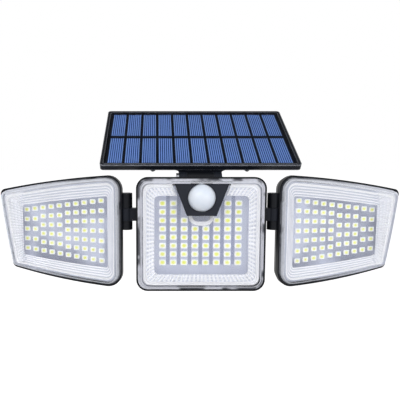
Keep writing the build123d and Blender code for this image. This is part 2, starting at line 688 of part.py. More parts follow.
def side_led_places():
    places = []
    last = len(SIDE_LED_COUNTS) - 1
    for column, count in enumerate(SIDE_LED_COUNTS):
        x = SIDE_LED_FIRST_X + column * SIDE_LED_PITCH
        span = SIDE_LED_INNER_SPAN + (SIDE_LED_OUTER_SPAN - SIDE_LED_INNER_SPAN) * column / last
        for row in range(count):
            places.append((x, SIDE_LED_MIDDLE_Z + span * (0.5 - row / (count - 1))))
    return places


def side_leds():
    return Pos(0, SIDE_LENS_FRONT, 0) * led_group(side_led_places(), SIDE_LED_SIZE, SIDE_LED_DEPTH)


def side_lens_screws():
    screws = lens_screws(SIDE_POSTS, SIDE_BOARD_DEPTH + BOARD_THICK + DROP_IN)
    return Pos(0, SIDE_LENS_FRONT, 0) * screws


def hinge_screw():
    screw = rod_z(HINGE_SCREW_RADIUS, KNUCKLE_BOTTOM_Z + 0.4, KNUCKLE_TOP_Z - HINGE_HEAD_THICK)
    screw += rod_z(HINGE_HEAD_RADIUS, KNUCKLE_TOP_Z - HINGE_HEAD_THICK, KNUCKLE_TOP_Z - 0.3)
    slot = Pos(0, 0, KNUCKLE_TOP_Z) * (Box(4.4, 0.9, 2.4) + Box(0.9, 4.4, 2.4))
    return screw - slot


def hinge_nut():
    nut = Pos(0, 0, KNUCKLE_BOTTOM_Z + 0.2) * extrude(hexagon(HINGE_NUT_FLATS), HINGE_NUT_THICK - 0.2)
    return nut - rod_z(HINGE_SCREW_RADIUS, KNUCKLE_BOTTOM_Z, KNUCKLE_BOTTOM_Z + HINGE_NUT_THICK)


# ---------------------------------------------------------------- necks
def neck():
    """Stub that twists in the main shell, and the tongue that carries a side head."""
    arm_start = PAD_FACE_X + PART_GAP
    part = rod_x(STUB_RADIUS, PAD_BACK_X - PART_GAP, arm_start, 0, TWIST_Z)
    half = NECK_ARM_WIDTH / 2
    part += block(arm_start, HINGE_X, -half, half, TONGUE_BOTTOM_Z, TONGUE_TOP_Z)
    part += rod_z(KNUCKLE_RADIUS, TONGUE_BOTTOM_Z, TONGUE_TOP_Z, HINGE_X, 0)
    part -= rod_z(HINGE_SCREW_RADIUS + RUN_FIT, TONGUE_BOTTOM_Z, TONGUE_TOP_Z, HINGE_X, 0)
    screw_start = PAD_BACK_X - PART_GAP
    part -= rod_x(NECK_SCREW_RADIUS, screw_start, screw_start + NECK_SCREW_LENGTH, 0, TWIST_Z)
    return Pos(0, HINGE_DEPTH - WALL_DEPTH, 0) * part


def neck_retainer():
    """Washer and screw that hold the stub from inside the main shell."""
    face = PAD_BACK_X - PART_GAP
    washer_back = face - WASHER_THICK
    washer = rod_x(WASHER_RADIUS, washer_back, face, 0, TWIST_Z)
    washer -= rod_x(NECK_SCREW_RADIUS, washer_back, face, 0, TWIST_Z)
    screw = rod_x(NECK_SCREW_RADIUS, washer_back, face + NECK_SCREW_LENGTH, 0, TWIST_Z)
    screw += rod_x(SCREW_HEAD_RADIUS, washer_back - SCREW_HEAD_THICK, washer_back, 0, TWIST_Z)
    return Pos(0, HINGE_DEPTH - WALL_DEPTH, 0) * Compound(children=[washer, screw])


# ---------------------------------------------------------------- solar panel
def panel_plate(shrink, z0, z1, corner):
    sketch = RectangleRounded(PANEL_WIDTH - 2 * shrink, PANEL_LENGTH - 2 * shrink, corner)
    return Pos(0, PANEL_MIDDLE_Y, z0) * extrude(sketch, z1 - z0)


def panel_frame():
    frame = panel_plate(0, PANEL_BASE_Z, PANEL_TOP_Z, PANEL_CORNER)
    frame = chamfer(frame.faces().sort_by(Axis.Z)[0].edges(), 0.8)
    frame -= panel_plate(PANEL_BORDER, BACKING_Z, PANEL_TOP_Z, 1.0)
    frame -= panel_plate(PANEL_BORDER + PANEL_LEDGE, PANEL_BASE_Z, BACKING_Z, 1.0)
    return PANEL_PLACE * frame


def panel_window():
    return PANEL_PLACE * panel_plate(PANEL_BORDER + DROP_IN, WINDOW_Z, WINDOW_Z + WINDOW_THICK, 1.0)


def panel_backing():
    return PANEL_PLACE * panel_plate(PANEL_BORDER + DROP_IN, BACKING_Z, CELLS_Z, 1.0)


def panel_cells():
    cells = []
    for column in range(CELL_COLUMNS):
        x = (column - (CELL_COLUMNS - 1) / 2) * (CELL_WIDTH + CELL_GAP_X)
        for row in range(CELL_ROWS):
            y = PANEL_MIDDLE_Y + (row - (CELL_ROWS - 1) / 2) * (CELL_LENGTH + CELL_GAP_Y)
            cells.append(block(
                x - CELL_WIDTH / 2, x + CELL_WIDTH / 2,
                y - CELL_LENGTH / 2, y + CELL_LENGTH / 2, CELLS_Z, CELLS_Z + CELL_THICK,
            ))
    return PANEL_PLACE * Compound(children=cells)


def panel_screw_places():
    half_x = PANEL_WIDTH / 2 - PANEL_BORDER - PANEL_LEDGE / 2
    half_y = PANEL_LENGTH / 2 - PANEL_BORDER - PANEL_LEDGE / 2
    places = [(i * half_x, PANEL_MIDDLE_Y + k * half_y / 2) for i in (-1, 1) for k in (-1, 1)]
    places += [(i * half_x / 2, PANEL_MIDDLE_Y + k * half_y) for i in (-1, 1) for k in (-1, 1)]
    return places


def bracket_screw_places():
    return [(i * BRACKET_SCREW_X, y) for i in (-1, 1) for y in BRACKET_SCREW_Y]


def panel_gland_place():
    return PANEL_GLAND_PLACE[0], PANEL_MIDDLE_Y + PANEL_GLAND_PLACE[1]


def panel_rear_cover():
    cover = panel_plate(REAR_COVER_INSET, REAR_COVER_Z, PANEL_BASE_Z, PANEL_CORNER)
    plug_inset = PANEL_BORDER + PANEL_LEDGE + DROP_IN
    plug = panel_plate(plug_inset, PANEL_BASE_Z, BACKING_Z, 1.0)
    plug -= panel_plate(plug_inset + REAR_RIB, PANEL_BASE_Z, BACKING_Z, 1.0)
    half_y = PANEL_LENGTH / 2 - plug_inset
    for x in (-PANEL_WIDTH / 4, 0, PANEL_WIDTH / 4):
        plug += block(x - REAR_RIB / 2, x + REAR_RIB / 2, PANEL_MIDDLE_Y - half_y,
                      PANEL_MIDDLE_Y + half_y, PANEL_BASE_Z, BACKING_Z)
    for x, y in bracket_screw_places():
        plug += rod_z(PANEL_SCREW_RADIUS * 2, PANEL_BASE_Z, BACKING_Z, x, y)
    cover += plug
    cover -= rod_z(GLAND_STEM_RADIUS, REAR_COVER_Z, PANEL_BASE_Z, *panel_gland_place())
    for x, y in panel_screw_places():
        cover -= rod_z(PANEL_SCREW_RADIUS, REAR_COVER_Z, PANEL_BASE_Z, x, y)
    for x, y in bracket_screw_places():
        cover -= rod_z(PANEL_SCREW_RADIUS, REAR_COVER_Z, REAR_COVER_Z + 3.0, x, y)
    return PANEL_PLACE * cover


def pan_screw(x, y, z_head, length):
    """Screw that points up, its head under z_head."""
    screw = rod_z(PANEL_SCREW_RADIUS, z_head, z_head + length, x, y)
    return screw + rod_z(PANEL_SCREW_HEAD_RADIUS, z_head - PANEL_SCREW_HEAD_THICK, z_head, x, y)


def panel_frame_with_holes():
    frame = panel_frame()
    for x, y in panel_screw_places():
        frame -= PANEL_PLACE * rod_z(PANEL_SCREW_RADIUS, PANEL_BASE_Z, PANEL_BASE_Z + 2.0, x, y)
    return frame


def panel_screws():
    screws = [pan_screw(x, y, REAR_COVER_Z, REAR_COVER_THICK + 2.0) for x, y in panel_screw_places()]
    return PANEL_PLACE * Compound(children=screws)


def bracket_screws():
    screws = [pan_screw(x, y, BRACKET_Z, BRACKET_PLATE_THICK + 3.0) for x, y in bracket_screw_places()]
    return PANEL_PLACE * Compound(children=screws)


def flared_front():
    """Front view of the neck where it meets the panel frame, with rounded inner corners."""
    half = BRACKET_WIDTH / 2
    top = PANEL_BASE_Z
    low = top - BRACKET_FLARE
    arc = BRACKET_FLARE * (1 - math.sqrt(0.5))
    outline = Wire([
        Line((-half, low), (half, low)),
        ThreePointArc((half, low), (half + arc, top - arc), (half + BRACKET_FLARE, top)),
        Line((half + BRACKET_FLARE, top), (-half - BRACKET_FLARE, top)),
        ThreePointArc((-half - BRACKET_FLARE, top), (-half - arc, top - arc), (-half, low)),
    ])
    return make_face(outline)


def panel_bracket():
    """Two ears on the tilt axis, a base plate under the panel and a front web."""
    half = BRACKET_WIDTH / 2
    ear_in = FIXED_KNUCKLE_WIDTH / 2 + PART_GAP
    web_start = PANEL_FRONT_Y + 0.4
    web_end = PANEL_FRONT_Y + REAR_COVER_INSET - 0.2
    clear = BARREL_RADIUS + PART_GAP
    part = block(-half, half, web_start, BRACKET_PLATE_LENGTH, BRACKET_Z, REAR_COVER_Z)
    part += prism(flared_front(), web_start, web_end)
    part += block(-half, half, web_start, web_end, BRACKET_Z, PANEL_BASE_Z - BRACKET_FLARE)
    part -= rod_x(clear, -ear_in, ear_in)
    part -= block(-ear_in, ear_in, -clear, clear, -clear, 0)
    for x0, x1 in ((-half, -ear_in), (ear_in, half)):
        foot = block(x0, x1, BARREL_RADIUS / 2, BRACKET_FOOT_LENGTH, 0, REAR_COVER_Z)
        part += rod_x(BARREL_RADIUS, x0, x1) + foot
    part -= rod_x(BOLT_RADIUS, -half, half)
    nut_start = half - BOLT_NUT_THICK
    part -= Pos(nut_start, 0, 0) * Rot(0, 90, 0) * extrude(hexagon(BOLT_NUT_FLATS + DROP_IN), BOLT_NUT_THICK)
    for x, y in bracket_screw_places():
        part -= rod_z(PANEL_SCREW_RADIUS, BRACKET_Z, REAR_COVER_Z, x, y)
    return PANEL_PLACE * part


def panel_hinge_bolt():
    half = BRACKET_WIDTH / 2
    bolt = rod_x(BOLT_RADIUS, -half, half - 0.4)
    bolt += rod_x(BOLT_HEAD_RADIUS, -half - BOLT_HEAD_THICK, -half)
    drive = Pos(-half - BOLT_HEAD_THICK, 0, 0) * (Box(2.4, 1.1, 5.4) + Box(2.4, 5.4, 1.1))
    return PANEL_PLACE * (bolt - drive)


def panel_hinge_nut():
    start = BRACKET_WIDTH / 2 - BOLT_NUT_THICK
    nut = Pos(start, 0, 0) * Rot(0, 90, 0) * extrude(hexagon(BOLT_NUT_FLATS), BOLT_NUT_THICK - 0.2)
    return PANEL_PLACE * (nut - rod_x(BOLT_RADIUS, start, start + BOLT_NUT_THICK))


def cable_gland():
    """Gland that points down, its hexagon's top face at z = 0, with a stem through the wall."""
    gland = extrude(hexagon(GLAND_HEX_FLATS), -GLAND_HEX_THICK)
    cap_end = -GLAND_HEX_THICK - GLAND_CAP_HEIGHT
    gland += rod_z(GLAND_RADIUS, cap_end, -GLAND_HEX_THICK)
    gland += rod_z(GLAND_STEM_RADIUS, 0, REAR_COVER_THICK)
    return gland - rod_z(GLAND_BORE, cap_end, REAR_COVER_THICK)


# ---------------------------------------------------------------- wall housing
def housing_outline(inset):
    sketch = RectangleRounded(
        HOUSING_WIDTH - 2 * inset, HOUSING_HEIGHT - 2 * inset, max(HOUSING_CORNER - inset, 1.0)
    )
    return Pos(0, HOUSING_MIDDLE_Z) * sketch


def control_post_places():
    half_x = CONTROL_WIDTH / 2 - CONTROL_POST_INSET
    y0 = CONTROL_FRONT_DEPTH + CONTROL_POST_INSET
    y1 = CONTROL_FRONT_DEPTH + CONTROL_LENGTH - CONTROL_POST_INSET
    return [(i * half_x, y) for i in (-1, 1) for y in (y0, y1)]


def lock_screw_depth():
    return HOUSING_END_DEPTH - WALL_RIM_HEIGHT / 2


def battery_housing():
    floor_z = HOUSING_MIDDLE_Z - HOUSING_HEIGHT / 2
    body = prism(housing_outline(0), HOUSING_FRONT_DEPTH, HOUSING_END_DEPTH)
    flange_back = HOUSING_FRONT_DEPTH + HOUSING_FLANGE_THICK
    flange = prism(housing_outline(-HOUSING_FLANGE), HOUSING_FRONT_DEPTH, flange_back)
    body += fillet(flange.faces().sort_by(Axis.Y)[-1].edges(), HOUSING_EDGE_FILLET)
    partition = HOUSING_BACK_DEPTH - HOUSING_WALL
    body -= prism(housing_outline(HOUSING_WALL), HOUSING_FRONT_DEPTH, partition)
    body -= prism(housing_outline(HOUSING_WALL), HOUSING_BACK_DEPTH, HOUSING_END_DEPTH)
    for x, y in control_post_places():
        body += rod_z(CONTROL_POST_RADIUS, floor_z + HOUSING_WALL / 2, CONTROL_Z, x, y)
    for x, y in control_post_places():
        body -= rod_z(CONTROL_SCREW_RADIUS, CONTROL_Z - CONTROL_SCREW_BITE, CONTROL_Z, x, y)
    for x, z in housing_screw_places():
        body -= rod_y(SCREW_RADIUS + DROP_IN, HOUSING_FRONT_DEPTH, flange_back, x, z)
    body -= rod_z(BUTTON_RADIUS + RUN_FIT, floor_z, floor_z + HOUSING_WALL, 0, BUTTON_DEPTH)
    for x in (-LOCK_SCREW_X, LOCK_SCREW_X):
        body -= rod_z(LOCK_SCREW_RADIUS, floor_z, floor_z + HOUSING_WALL, x, lock_screw_depth())
    top_z = floor_z + HOUSING_HEIGHT
    body -= rod_z(GLAND_STEM_RADIUS, top_z - HOUSING_WALL, top_z, 0, gland_depth())
    return MAIN_PLACE * body


def gland_depth():
    return HOUSING_FRONT_DEPTH + LAMP_GLAND_SETBACK


def housing_gasket():
    ring = prism(housing_outline(-HOUSING_FLANGE), MAIN_SHELL_DEPTH, HOUSING_FRONT_DEPTH)
    ring -= prism(housing_outline(HOUSING_WALL), MAIN_SHELL_DEPTH, HOUSING_FRONT_DEPTH)
    for x, z in housing_screw_places():
        ring -= rod_y(SCREW_RADIUS + DROP_IN, MAIN_SHELL_DEPTH, HOUSING_FRONT_DEPTH, x, z)
    return MAIN_PLACE * ring


def housing_screws():
    head_front = HOUSING_FRONT_DEPTH + HOUSING_FLANGE_THICK
    tip = HOUSING_FRONT_DEPTH - HOUSING_SCREW_BITE
    screws = []
    for x, z in housing_screw_places():
        screw = rod_y(SCREW_RADIUS, tip, head_front, x, z)
        screws.append(screw + rod_y(SCREW_HEAD_RADIUS, head_front, head_front + SCREW_HEAD_THICK, x, z))
    return MAIN_PLACE * Compound(children=screws)


def wall_plate():
    """Plate for the wall with a raised rim that the housing slides over."""
    front = HOUSING_END_DEPTH
    outline = Pos(0, HOUSING_MIDDLE_Z) * RectangleRounded(
        WALL_PLATE_WIDTH, WALL_PLATE_HEIGHT, WALL_PLATE_CORNER
    )
    rim_front = front - WALL_RIM_HEIGHT
    fit = HOUSING_WALL + DROP_IN
    plate = prism(outline, front, WALL_DEPTH) + prism(housing_outline(0), front, WALL_DEPTH)
    plate += prism(housing_outline(fit), rim_front, front)
    plate -= prism(housing_outline(fit + WALL_RIM_WALL), rim_front, front)
    floor_z = HOUSING_MIDDLE_Z - HOUSING_HEIGHT / 2 + fit
    for x in (-LOCK_SCREW_X, LOCK_SCREW_X):
        half = LOCK_BOSS_SIZE / 2
        plate += block(x - half, x + half, rim_front, front, floor_z, floor_z + LOCK_SCREW_LENGTH)
    for x in (-LOCK_SCREW_X, LOCK_SCREW_X):
        plate -= rod_z(LOCK_SCREW_RADIUS, floor_z, floor_z + LOCK_SCREW_LENGTH - 2.0, x, lock_screw_depth())
    for x in (-WALL_HOLE_SPACING / 2, WALL_HOLE_SPACING / 2):
        plate -= rod_y(WALL_HOLE_RADIUS, front, WALL_DEPTH, x, HOUSING_MIDDLE_Z)
    return MAIN_PLACE * plate


def plate_lock_screws():
    outer_z = HOUSING_MIDDLE_Z - HOUSING_HEIGHT / 2
    tip = outer_z + HOUSING_WALL + DROP_IN + LOCK_SCREW_LENGTH - 2.0
    screws = []
    for x in (-LOCK_SCREW_X, LOCK_SCREW_X):
        screw = rod_z(LOCK_SCREW_RADIUS, outer_z, tip, x, lock_screw_depth())
        head = rod_z(LOCK_HEAD_RADIUS, outer_z - LOCK_HEAD_THICK, outer_z, x, lock_screw_depth())
        screws.append(screw + head)
    return MAIN_PLACE * Compound(children=screws)


# ---------------------------------------------------------------- battery and electronics
def holder_back():
    return HOUSING_BACK_DEPTH - HOUSING_WALL


def battery_depth():
    return holder_back() - HOLDER_FLOOR - CELL_RADIUS


def battery_holder():
    """Open tray on the housing's partition, long side across the light."""
    half_x = BATTERY_LENGTH / 2 + HOLDER_END_ROOM
    half_z = CELL_RADIUS + DROP_IN
    back = holder_back()
    front = back - HOLDER_FLOOR - HOLDER_SIDE_HEIGHT
    outer = block(-half_x - HOLDER_WALL, half_x + HOLDER_WALL, front, back,
                  BATTERY_Z - half_z - HOLDER_WALL, BATTERY_Z + half_z + HOLDER_WALL)
    inner = block(-half_x, half_x, front, back - HOLDER_FLOOR,
                  BATTERY_Z - half_z, BATTERY_Z + half_z)
    return MAIN_PLACE * (outer - inner)


def battery_cell():
    half = BATTERY_LENGTH / 2
    cell = rod_x(CELL_RADIUS, -half, half - 1.0, battery_depth(), BATTERY_Z)
    cell += rod_x(3.0, half - 1.0, half, battery_depth(), BATTERY_Z)
    return MAIN_PLACE * cell


def battery_contacts():
    """A flat tab at the plus end and a conical spring's plate and post at the minus end."""
    half = BATTERY_LENGTH / 2
    wall = half + HOLDER_END_ROOM
    y = battery_depth()
    z0 = BATTERY_Z - CONTACT_WIDTH / 2
    z1 = BATTERY_Z + CONTACT_WIDTH / 2
    y0 = y - CONTACT_WIDTH / 2
    y1 = y + CONTACT_WIDTH / 2
    plus = block(wall - CONTACT_THICK, wall, y0, y1, z0, z1)
    plus += rod_x(2.5, half, wall - CONTACT_THICK, y, BATTERY_Z)
    minus = block(-wall, -wall + CONTACT_THICK, y0, y1, z0, z1)
    base = Pos(-wall + CONTACT_THICK, y, BATTERY_Z) * Rot(0, 90, 0)
    minus += base * extrude(Circle(4.2) - Circle(3.4), 1.0)
    minus += base * extrude(Circle(3.6) - Circle(2.6), HOLDER_END_ROOM - CONTACT_THICK)
    return MAIN_PLACE * Compound(children=[plus, minus])


def control_board():
    board = block(-CONTROL_WIDTH / 2, CONTROL_WIDTH / 2, CONTROL_FRONT_DEPTH,
                  CONTROL_FRONT_DEPTH + CONTROL_LENGTH, CONTROL_Z, CONTROL_Z + BOARD_THICK)
    for x, y in control_post_places():
        board -= rod_z(CONTROL_SCREW_RADIUS, CONTROL_Z, CONTROL_Z + BOARD_THICK, x, y)
    return MAIN_PLACE * board


def board_components():
    top = CONTROL_Z + BOARD_THICK
    middle = CONTROL_FRONT_DEPTH + CONTROL_LENGTH / 2
    parts = []
    for x, y, width, length, height in CONTROL_CHIPS:
        parts.append(block(x - width / 2, x + width / 2, middle + y - length / 2,
                           middle + y + length / 2, top, top + height))
    x, y, radius, height = CAN_CAPACITOR
    parts.append(rod_z(radius, top, top + height, x, middle + y))
    return MAIN_PLACE * Compound(children=parts)


def board_screws():
    top = CONTROL_Z + BOARD_THICK
    screws = []
    for x, y in control_post_places():
        screw = rod_z(CONTROL_SCREW_RADIUS, CONTROL_Z - CONTROL_SCREW_BITE, top, x, y)
        screws.append(screw + rod_z(CONTROL_HEAD_RADIUS, top, top + CONTROL_HEAD_THICK, x, y))
    return MAIN_PLACE * Compound(children=screws)


# ---------------------------------------------------------------- mode button
def button_top():
    inner_floor = HOUSING_MIDDLE_Z - HOUSING_HEIGHT / 2 + HOUSING_WALL
    return inner_floor + PART_GAP + BUTTON_FLANGE_THICK


def mode_button():
    outer_floor = HOUSING_MIDDLE_Z - HOUSING_HEIGHT / 2
    button = rod_z(BUTTON_RADIUS, outer_floor - BUTTON_PROUD, button_top(), 0, BUTTON_DEPTH)
    button = fillet(button.faces().sort_by(Axis.Z)[0].edges(), 0.9)
    flange_low = button_top() - BUTTON_FLANGE_THICK
    button += rod_z(BUTTON_FLANGE_RADIUS, flange_low, button_top(), 0, BUTTON_DEPTH)
    return MAIN_PLACE * button


def mode_switch():
    """Push switch under the control board, its plunger just above the pressed button."""
    body_low = CONTROL_Z - SWITCH_BODY_HEIGHT
    half = SWITCH_SIZE / 2
    body = block(-half, half, BUTTON_DEPTH - half, BUTTON_DEPTH + half, body_low, CONTROL_Z)
    plunger_low = button_top() + BUTTON_TRAVEL + PART_GAP / 2
    body += rod_z(SWITCH_PLUNGER_RADIUS, plunger_low, body_low, 0, BUTTON_DEPTH)
    return MAIN_PLACE * body


# ---------------------------------------------------------------- write the nodes
def build():
    os.makedirs("parts", exist_ok=True)
    main_post_front = MAIN_BOARD_DEPTH + BOARD_THICK + DROP_IN
    save("wall_plate", wall_plate())
    save("plate_lock_screws", plate_lock_screws())
    save("battery_housing", battery_housing())
    save("housing_gasket", housing_gasket())
    save("housing_screws", housing_screws())
    save("battery_holder", battery_holder())
    save("battery_cell", battery_cell())
    save("battery_contacts", battery_contacts())
    save("control_board", control_board())
    save("board_components", board_components())
    save("board_screws", board_screws())
    save("mode_switch", mode_switch())
    save("mode_button", mode_button())
    top_z = HOUSING_MIDDLE_Z + HOUSING_HEIGHT / 2
    gland_place = MAIN_PLACE * Pos(0, gland_depth(), top_z) * Rot(180, 0, 0)
    save("lamp_cable_gland", gland_place * cable_gland())

    save("main_rear_shell", main_rear_shell())
    save("main_gasket", MAIN_PLACE * lens_gasket(main_outline, MAIN_LENS_RISE))
    save("main_lens_cover", main_lens_cover())
    save("main_lens_screws", MAIN_PLACE * lens_screws(main_posts(), main_post_front))
    save("main_led_board", main_led_board())
    save("main_leds", MAIN_PLACE * led_group(main_led_places(), MAIN_LED_SIZE, MAIN_LED_DEPTH))
    save("sensor_bezel", sensor_bezel())
    save("sensor_dome", sensor_dome())
    save("sensor_board", sensor_board())
    save("sensor_spacers", sensor_spacers())
    save("pir_sensor", pir_sensor())

    save("panel_frame", panel_frame_with_holes())
    save("panel_window", panel_window())
    save("panel_cells", panel_cells())
    save("panel_backing", panel_backing())
    save("panel_rear_cover", panel_rear_cover())
    save("panel_screws", panel_screws())
    save("panel_bracket", panel_bracket())
    save("bracket_screws", bracket_screws())
    save("panel_hinge_bolt", panel_hinge_bolt())
    save("panel_hinge_nut", panel_hinge_nut())
    save("panel_cable_gland", PANEL_PLACE * Pos(*panel_gland_place(), REAR_COVER_Z) * cable_gland())

    head_pieces = {
        "rear_shell": side_rear_shell(),
        "gasket": side_gasket(),
        "lens_cover": side_lens_cover(),
        "lens_screws": side_lens_screws(),
        "led_board": side_led_board(),
        "leds": side_leds(),
        "hinge_screw": hinge_screw(),
        "hinge_nut": hinge_nut(),
    }
    for piece, shape in head_pieces.items():
        save("right_" + piece, SIDE_PLACE * Rot(0, 0, RIGHT_HEAD_YAW) * shape)
        save("left_" + piece, mirror(SIDE_PLACE * Rot(0, 0, LEFT_HEAD_YAW) * shape, about=Plane.YZ))
    for piece, shape in {"neck": neck(), "neck_retainer": neck_retainer()}.items():
        save("right_" + piece, shape)
        save("left_" + piece, mirror(shape, about=Plane.YZ))


build()
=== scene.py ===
import math

import bmesh
import bpy
from mathutils import Matrix, Vector


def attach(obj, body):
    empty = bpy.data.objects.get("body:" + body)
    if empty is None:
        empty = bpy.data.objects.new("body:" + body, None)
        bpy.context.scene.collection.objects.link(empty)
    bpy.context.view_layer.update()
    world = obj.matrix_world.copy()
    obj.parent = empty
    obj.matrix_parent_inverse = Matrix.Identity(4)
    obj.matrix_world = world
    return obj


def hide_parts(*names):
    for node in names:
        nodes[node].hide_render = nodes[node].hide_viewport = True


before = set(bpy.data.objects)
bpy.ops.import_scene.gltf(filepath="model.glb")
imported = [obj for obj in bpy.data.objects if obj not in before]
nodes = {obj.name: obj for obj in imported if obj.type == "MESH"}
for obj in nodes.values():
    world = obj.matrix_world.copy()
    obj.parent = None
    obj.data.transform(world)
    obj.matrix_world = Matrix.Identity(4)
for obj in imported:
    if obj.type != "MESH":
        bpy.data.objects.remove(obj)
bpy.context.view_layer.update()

# Shapes are drawn in millimetres and go through MM.  Bump and wear distances, texture scales,
# the stage, the lamps and the camera go by metres.  The wall is y = 0, the light faces -Y
# and +Z is up.
MM = 0.001
SIDES = {"left": -1, "right": 1}

# ---------------------------------------------------------------- sizes of the lamp
WALL_DEPTH = 112.0
MAIN_FRAME = Matrix.Translation((0, -WALL_DEPTH, 0))
SIDE_HINGE = (70.3, -94.0, 0.0)
SIDE_YAW = {1: 8.4, -1: 10.4}       # degrees that each outer end leans back at rest
SIDE_LENS_FRONT = -12.0

MAIN_HALF = (60.8, 54.0)
MAIN_LED_SIZE = (6.0, 5.2)
MAIN_LED_PITCH = (10.27, 8.09)
MAIN_LED_MIDDLE_Z = 0.7
MAIN_LED_DEPTH = 10.2
LED_FIELD_HALF = 37.5               # half the width of the main board's led field
SENSOR_ROWS = {0: 2, 1: 2, 2: 3}    # leds kept at each end of the top rows
SENSOR_Z = 35.0
DOME_RADIUS = 12.6
DOME_CENTRE_DEPTH = 1.4
DOME_HOLE = 12.85                   # in the cover
DOME_FLANGE = (13.4, 11.6)          # outer and inner radius
DOME_FLANGE_DEPTH = 2.0
BEZEL = ((-25.15, 48.0), (-13.65, 18.4), (13.65, 18.4), (25.15, 48.0))
WELL_RADIUS = 16.6                  # clear well behind the dome
WELL_TAIL = {"half": 12.0, "bottom": 9.0, "top": 37.0, "radius": 9.0}
WELL_WALLS = (1.5, 3.6)             # round part, tail
WELL_TOP = 49.2                     # the well ends under the rim of the cover
WELL_SHADED_BELOW = 20.0            # its tail looks like the ribs
WELL_TOP_WALL = 0.4                 # share of its round wall
BEZEL_LAND = 2.0                    # flat border of the cover round the bezel
BEZEL_GAP = 0.2
MAIN_POST = (49.5, 43.5)            # screw posts, from the middle of the head
MAIN_POST_DEPTHS = (3.35, 7.6, 12.6)        # post starts, bore starts, post ends
POST_RADII = (3.0, 1.5)             # of a post and its bore

SIDE_CORNERS = ((3.3, -53.0), (115.6, -36.4), (127.9, 40.3), (3.3, 56.0))
SIDE_BOWS = {"top": 2.4, "bottom": 2.8, "outer": 1.0}
SIDE_LED_SIZE = (5.2, 4.6)
SIDE_LED_DEPTH = 8.05
SIDE_LED_COUNTS = (7, 7, 7, 7, 7, 6, 6, 6, 5, 5)
SIDE_LED_FIRST_X = 24.2
SIDE_LED_PITCH = 8.54
SIDE_LED_SPANS = (58.8, 38.6)
SIDE_LED_MIDDLE_Z = 1.5
SIDE_POSTS = ((15.0, 41.0), (15.0, -38.0), (112.0, 30.0), (106.0, -27.0))
SIDE_POST_DEPTHS = (3.05, 5.45, 10.45)
SIDE_RADIAL_RIBS_FROM = 100.0       # radial ribs only on the outer end
SIDE_WINDOW = ((16.2, -32.2), (101.2, -22.1), (101.2, 25.1), (16.2, 35.2))
SIDE_RADII = (14.0, 5.5, 5.5, 14.0)

LED_DEPTH = 0.8                     # of a package
LED_RIM = 0.45
LED_WELL = 0.12                     # depth of the phosphor, and width of its slope
LED_PAD = (0.5, 0.3, 0.55)          # solder: width, depth, share of the package's height
LED_PAD_PLACE = (0.15, 0.65)        # beyond the end, behind the front
LED_PAD_SOLDER = 0.55               # solder behind this depth, white in front of it

PANEL_HINGE = (0.0, -94.0, 52.5)
PANEL_TILT = 35.4
PANEL_MIDDLE = 53.4                 # from the hinge, up the slope
CELL_SIZE = (14.93, 45.2)
CELL_PITCH = (16.33, 47.6)
CELL_MARGIN = ((1.0, 0.6), (1.6, 1.0))      # dark edge of a cell, across and along it
FINGER_PITCH = 2.03
FRONT_EDGE_HIGHLIGHT = (5.5, 4.0)             # painted edge highlight of the panel's frame, up the slope: weaker beyond the first, full below the second
WINDOW_SIZE = (183.8, 95.5)
WINDOW_LEVELS = (11.5, 13.2)        # above the hinge, square to the panel


def side_frame(side):
    """Places a head drawn with the fold axis as origin, x outwards; the left head is mirrored."""
    place = Matrix.Translation(SIDE_HINGE) @ Matrix.Rotation(math.radians(SIDE_YAW[side]), 4, "Z")
    place = place @ Matrix.Translation((0, SIDE_LENS_FRONT, 0))
    return Matrix.Diagonal((side, 1, 1, 1)) @ place


# ---------------------------------------------------------------- node group helpers
def new_group(name, inputs, outputs):
    group = bpy.data.node_groups.new(name, "ShaderNodeTree")
    for label, kind, default in inputs:
        socket = group.interface.new_socket(label, in_out="INPUT", socket_type=kind)
        socket.default_value = default
    for label, kind in outputs:
        group.interface.new_socket(label, in_out="OUTPUT", socket_type=kind)
    return group, Tree(group)


class Tree:
    """Short hand for adding and linking nodes."""

    def __init__(self, tree):
        self.tree = tree
        self.nodes = tree.nodes
        self.links = tree.links

    def add(self, kind, values=None, **settings):
        node = self.nodes.new(kind)
        for key, value in settings.items():
            setattr(node, key, value)
        for key, value in (values or {}).items():
            self.put(node.inputs[key], value)
        return node

    def put(self, socket, value):
        if isinstance(value, bpy.types.NodeSocket):
            self.links.new(value, socket)
        else:
            socket.default_value = value

    def place(self):
        """Where on the piece, in metres."""
        return self.add("ShaderNodeTexCoord").outputs["Object"]

    def split(self, vector):
        return self.add("ShaderNodeSeparateXYZ", {0: vector}).outputs[:3]

    def noise(self, place, scale, detail):
        return self.add("ShaderNodeTexNoise", {"Vector": place, "Scale": scale, "Detail": detail}).outputs[0]

    def maths(self, operation, a, b=0.0):
        return self.add("ShaderNodeMath", {0: a, 1: b}, operation=operation).outputs[0]

    def times(self, a, b):
        return self.maths("MULTIPLY", a, b)

    def plus(self, a, b):
        return self.maths("ADD", a, b)

    def blend(self, factor, a, b, mode="MIX"):
        node = self.add("ShaderNodeMix", data_type="RGBA", blend_type=mode)
        for index, value in ((0, factor), (6, a), (7, b)):
            self.put(node.inputs[index], value)
        return node.outputs[2]

    def smooth(self, value, low, high):
        """0 under low, 1 over high, with a soft step between; swap the two to fall."""
        node = self.add("ShaderNodeMapRange", {0: value, 1: low, 2: high, 3: 0.0, 4: 1.0},
                        interpolation_type="SMOOTHSTEP")
        return node.outputs[0]

    def ramp(self, value, stops):
        node = self.add("ShaderNodeValToRGB", {0: value})
        while len(node.color_ramp.elements) < len(stops):
            node.color_ramp.elements.new(1.0)
        for element, (place, colour) in zip(node.color_ramp.elements, stops):
            element.position = place
            element.color = (*colour, 1.0)
        return node.outputs[0]


def srgb(r, g, b):
    """Linear colour of a screen colour from 0 to 255."""
    def linear(v):
        v /= 255.0
        return v / 12.92 if v <= 0.04045 else ((v + 0.055) / 1.055) ** 2.4
    return tuple(linear(v) for v in (r, g, b))


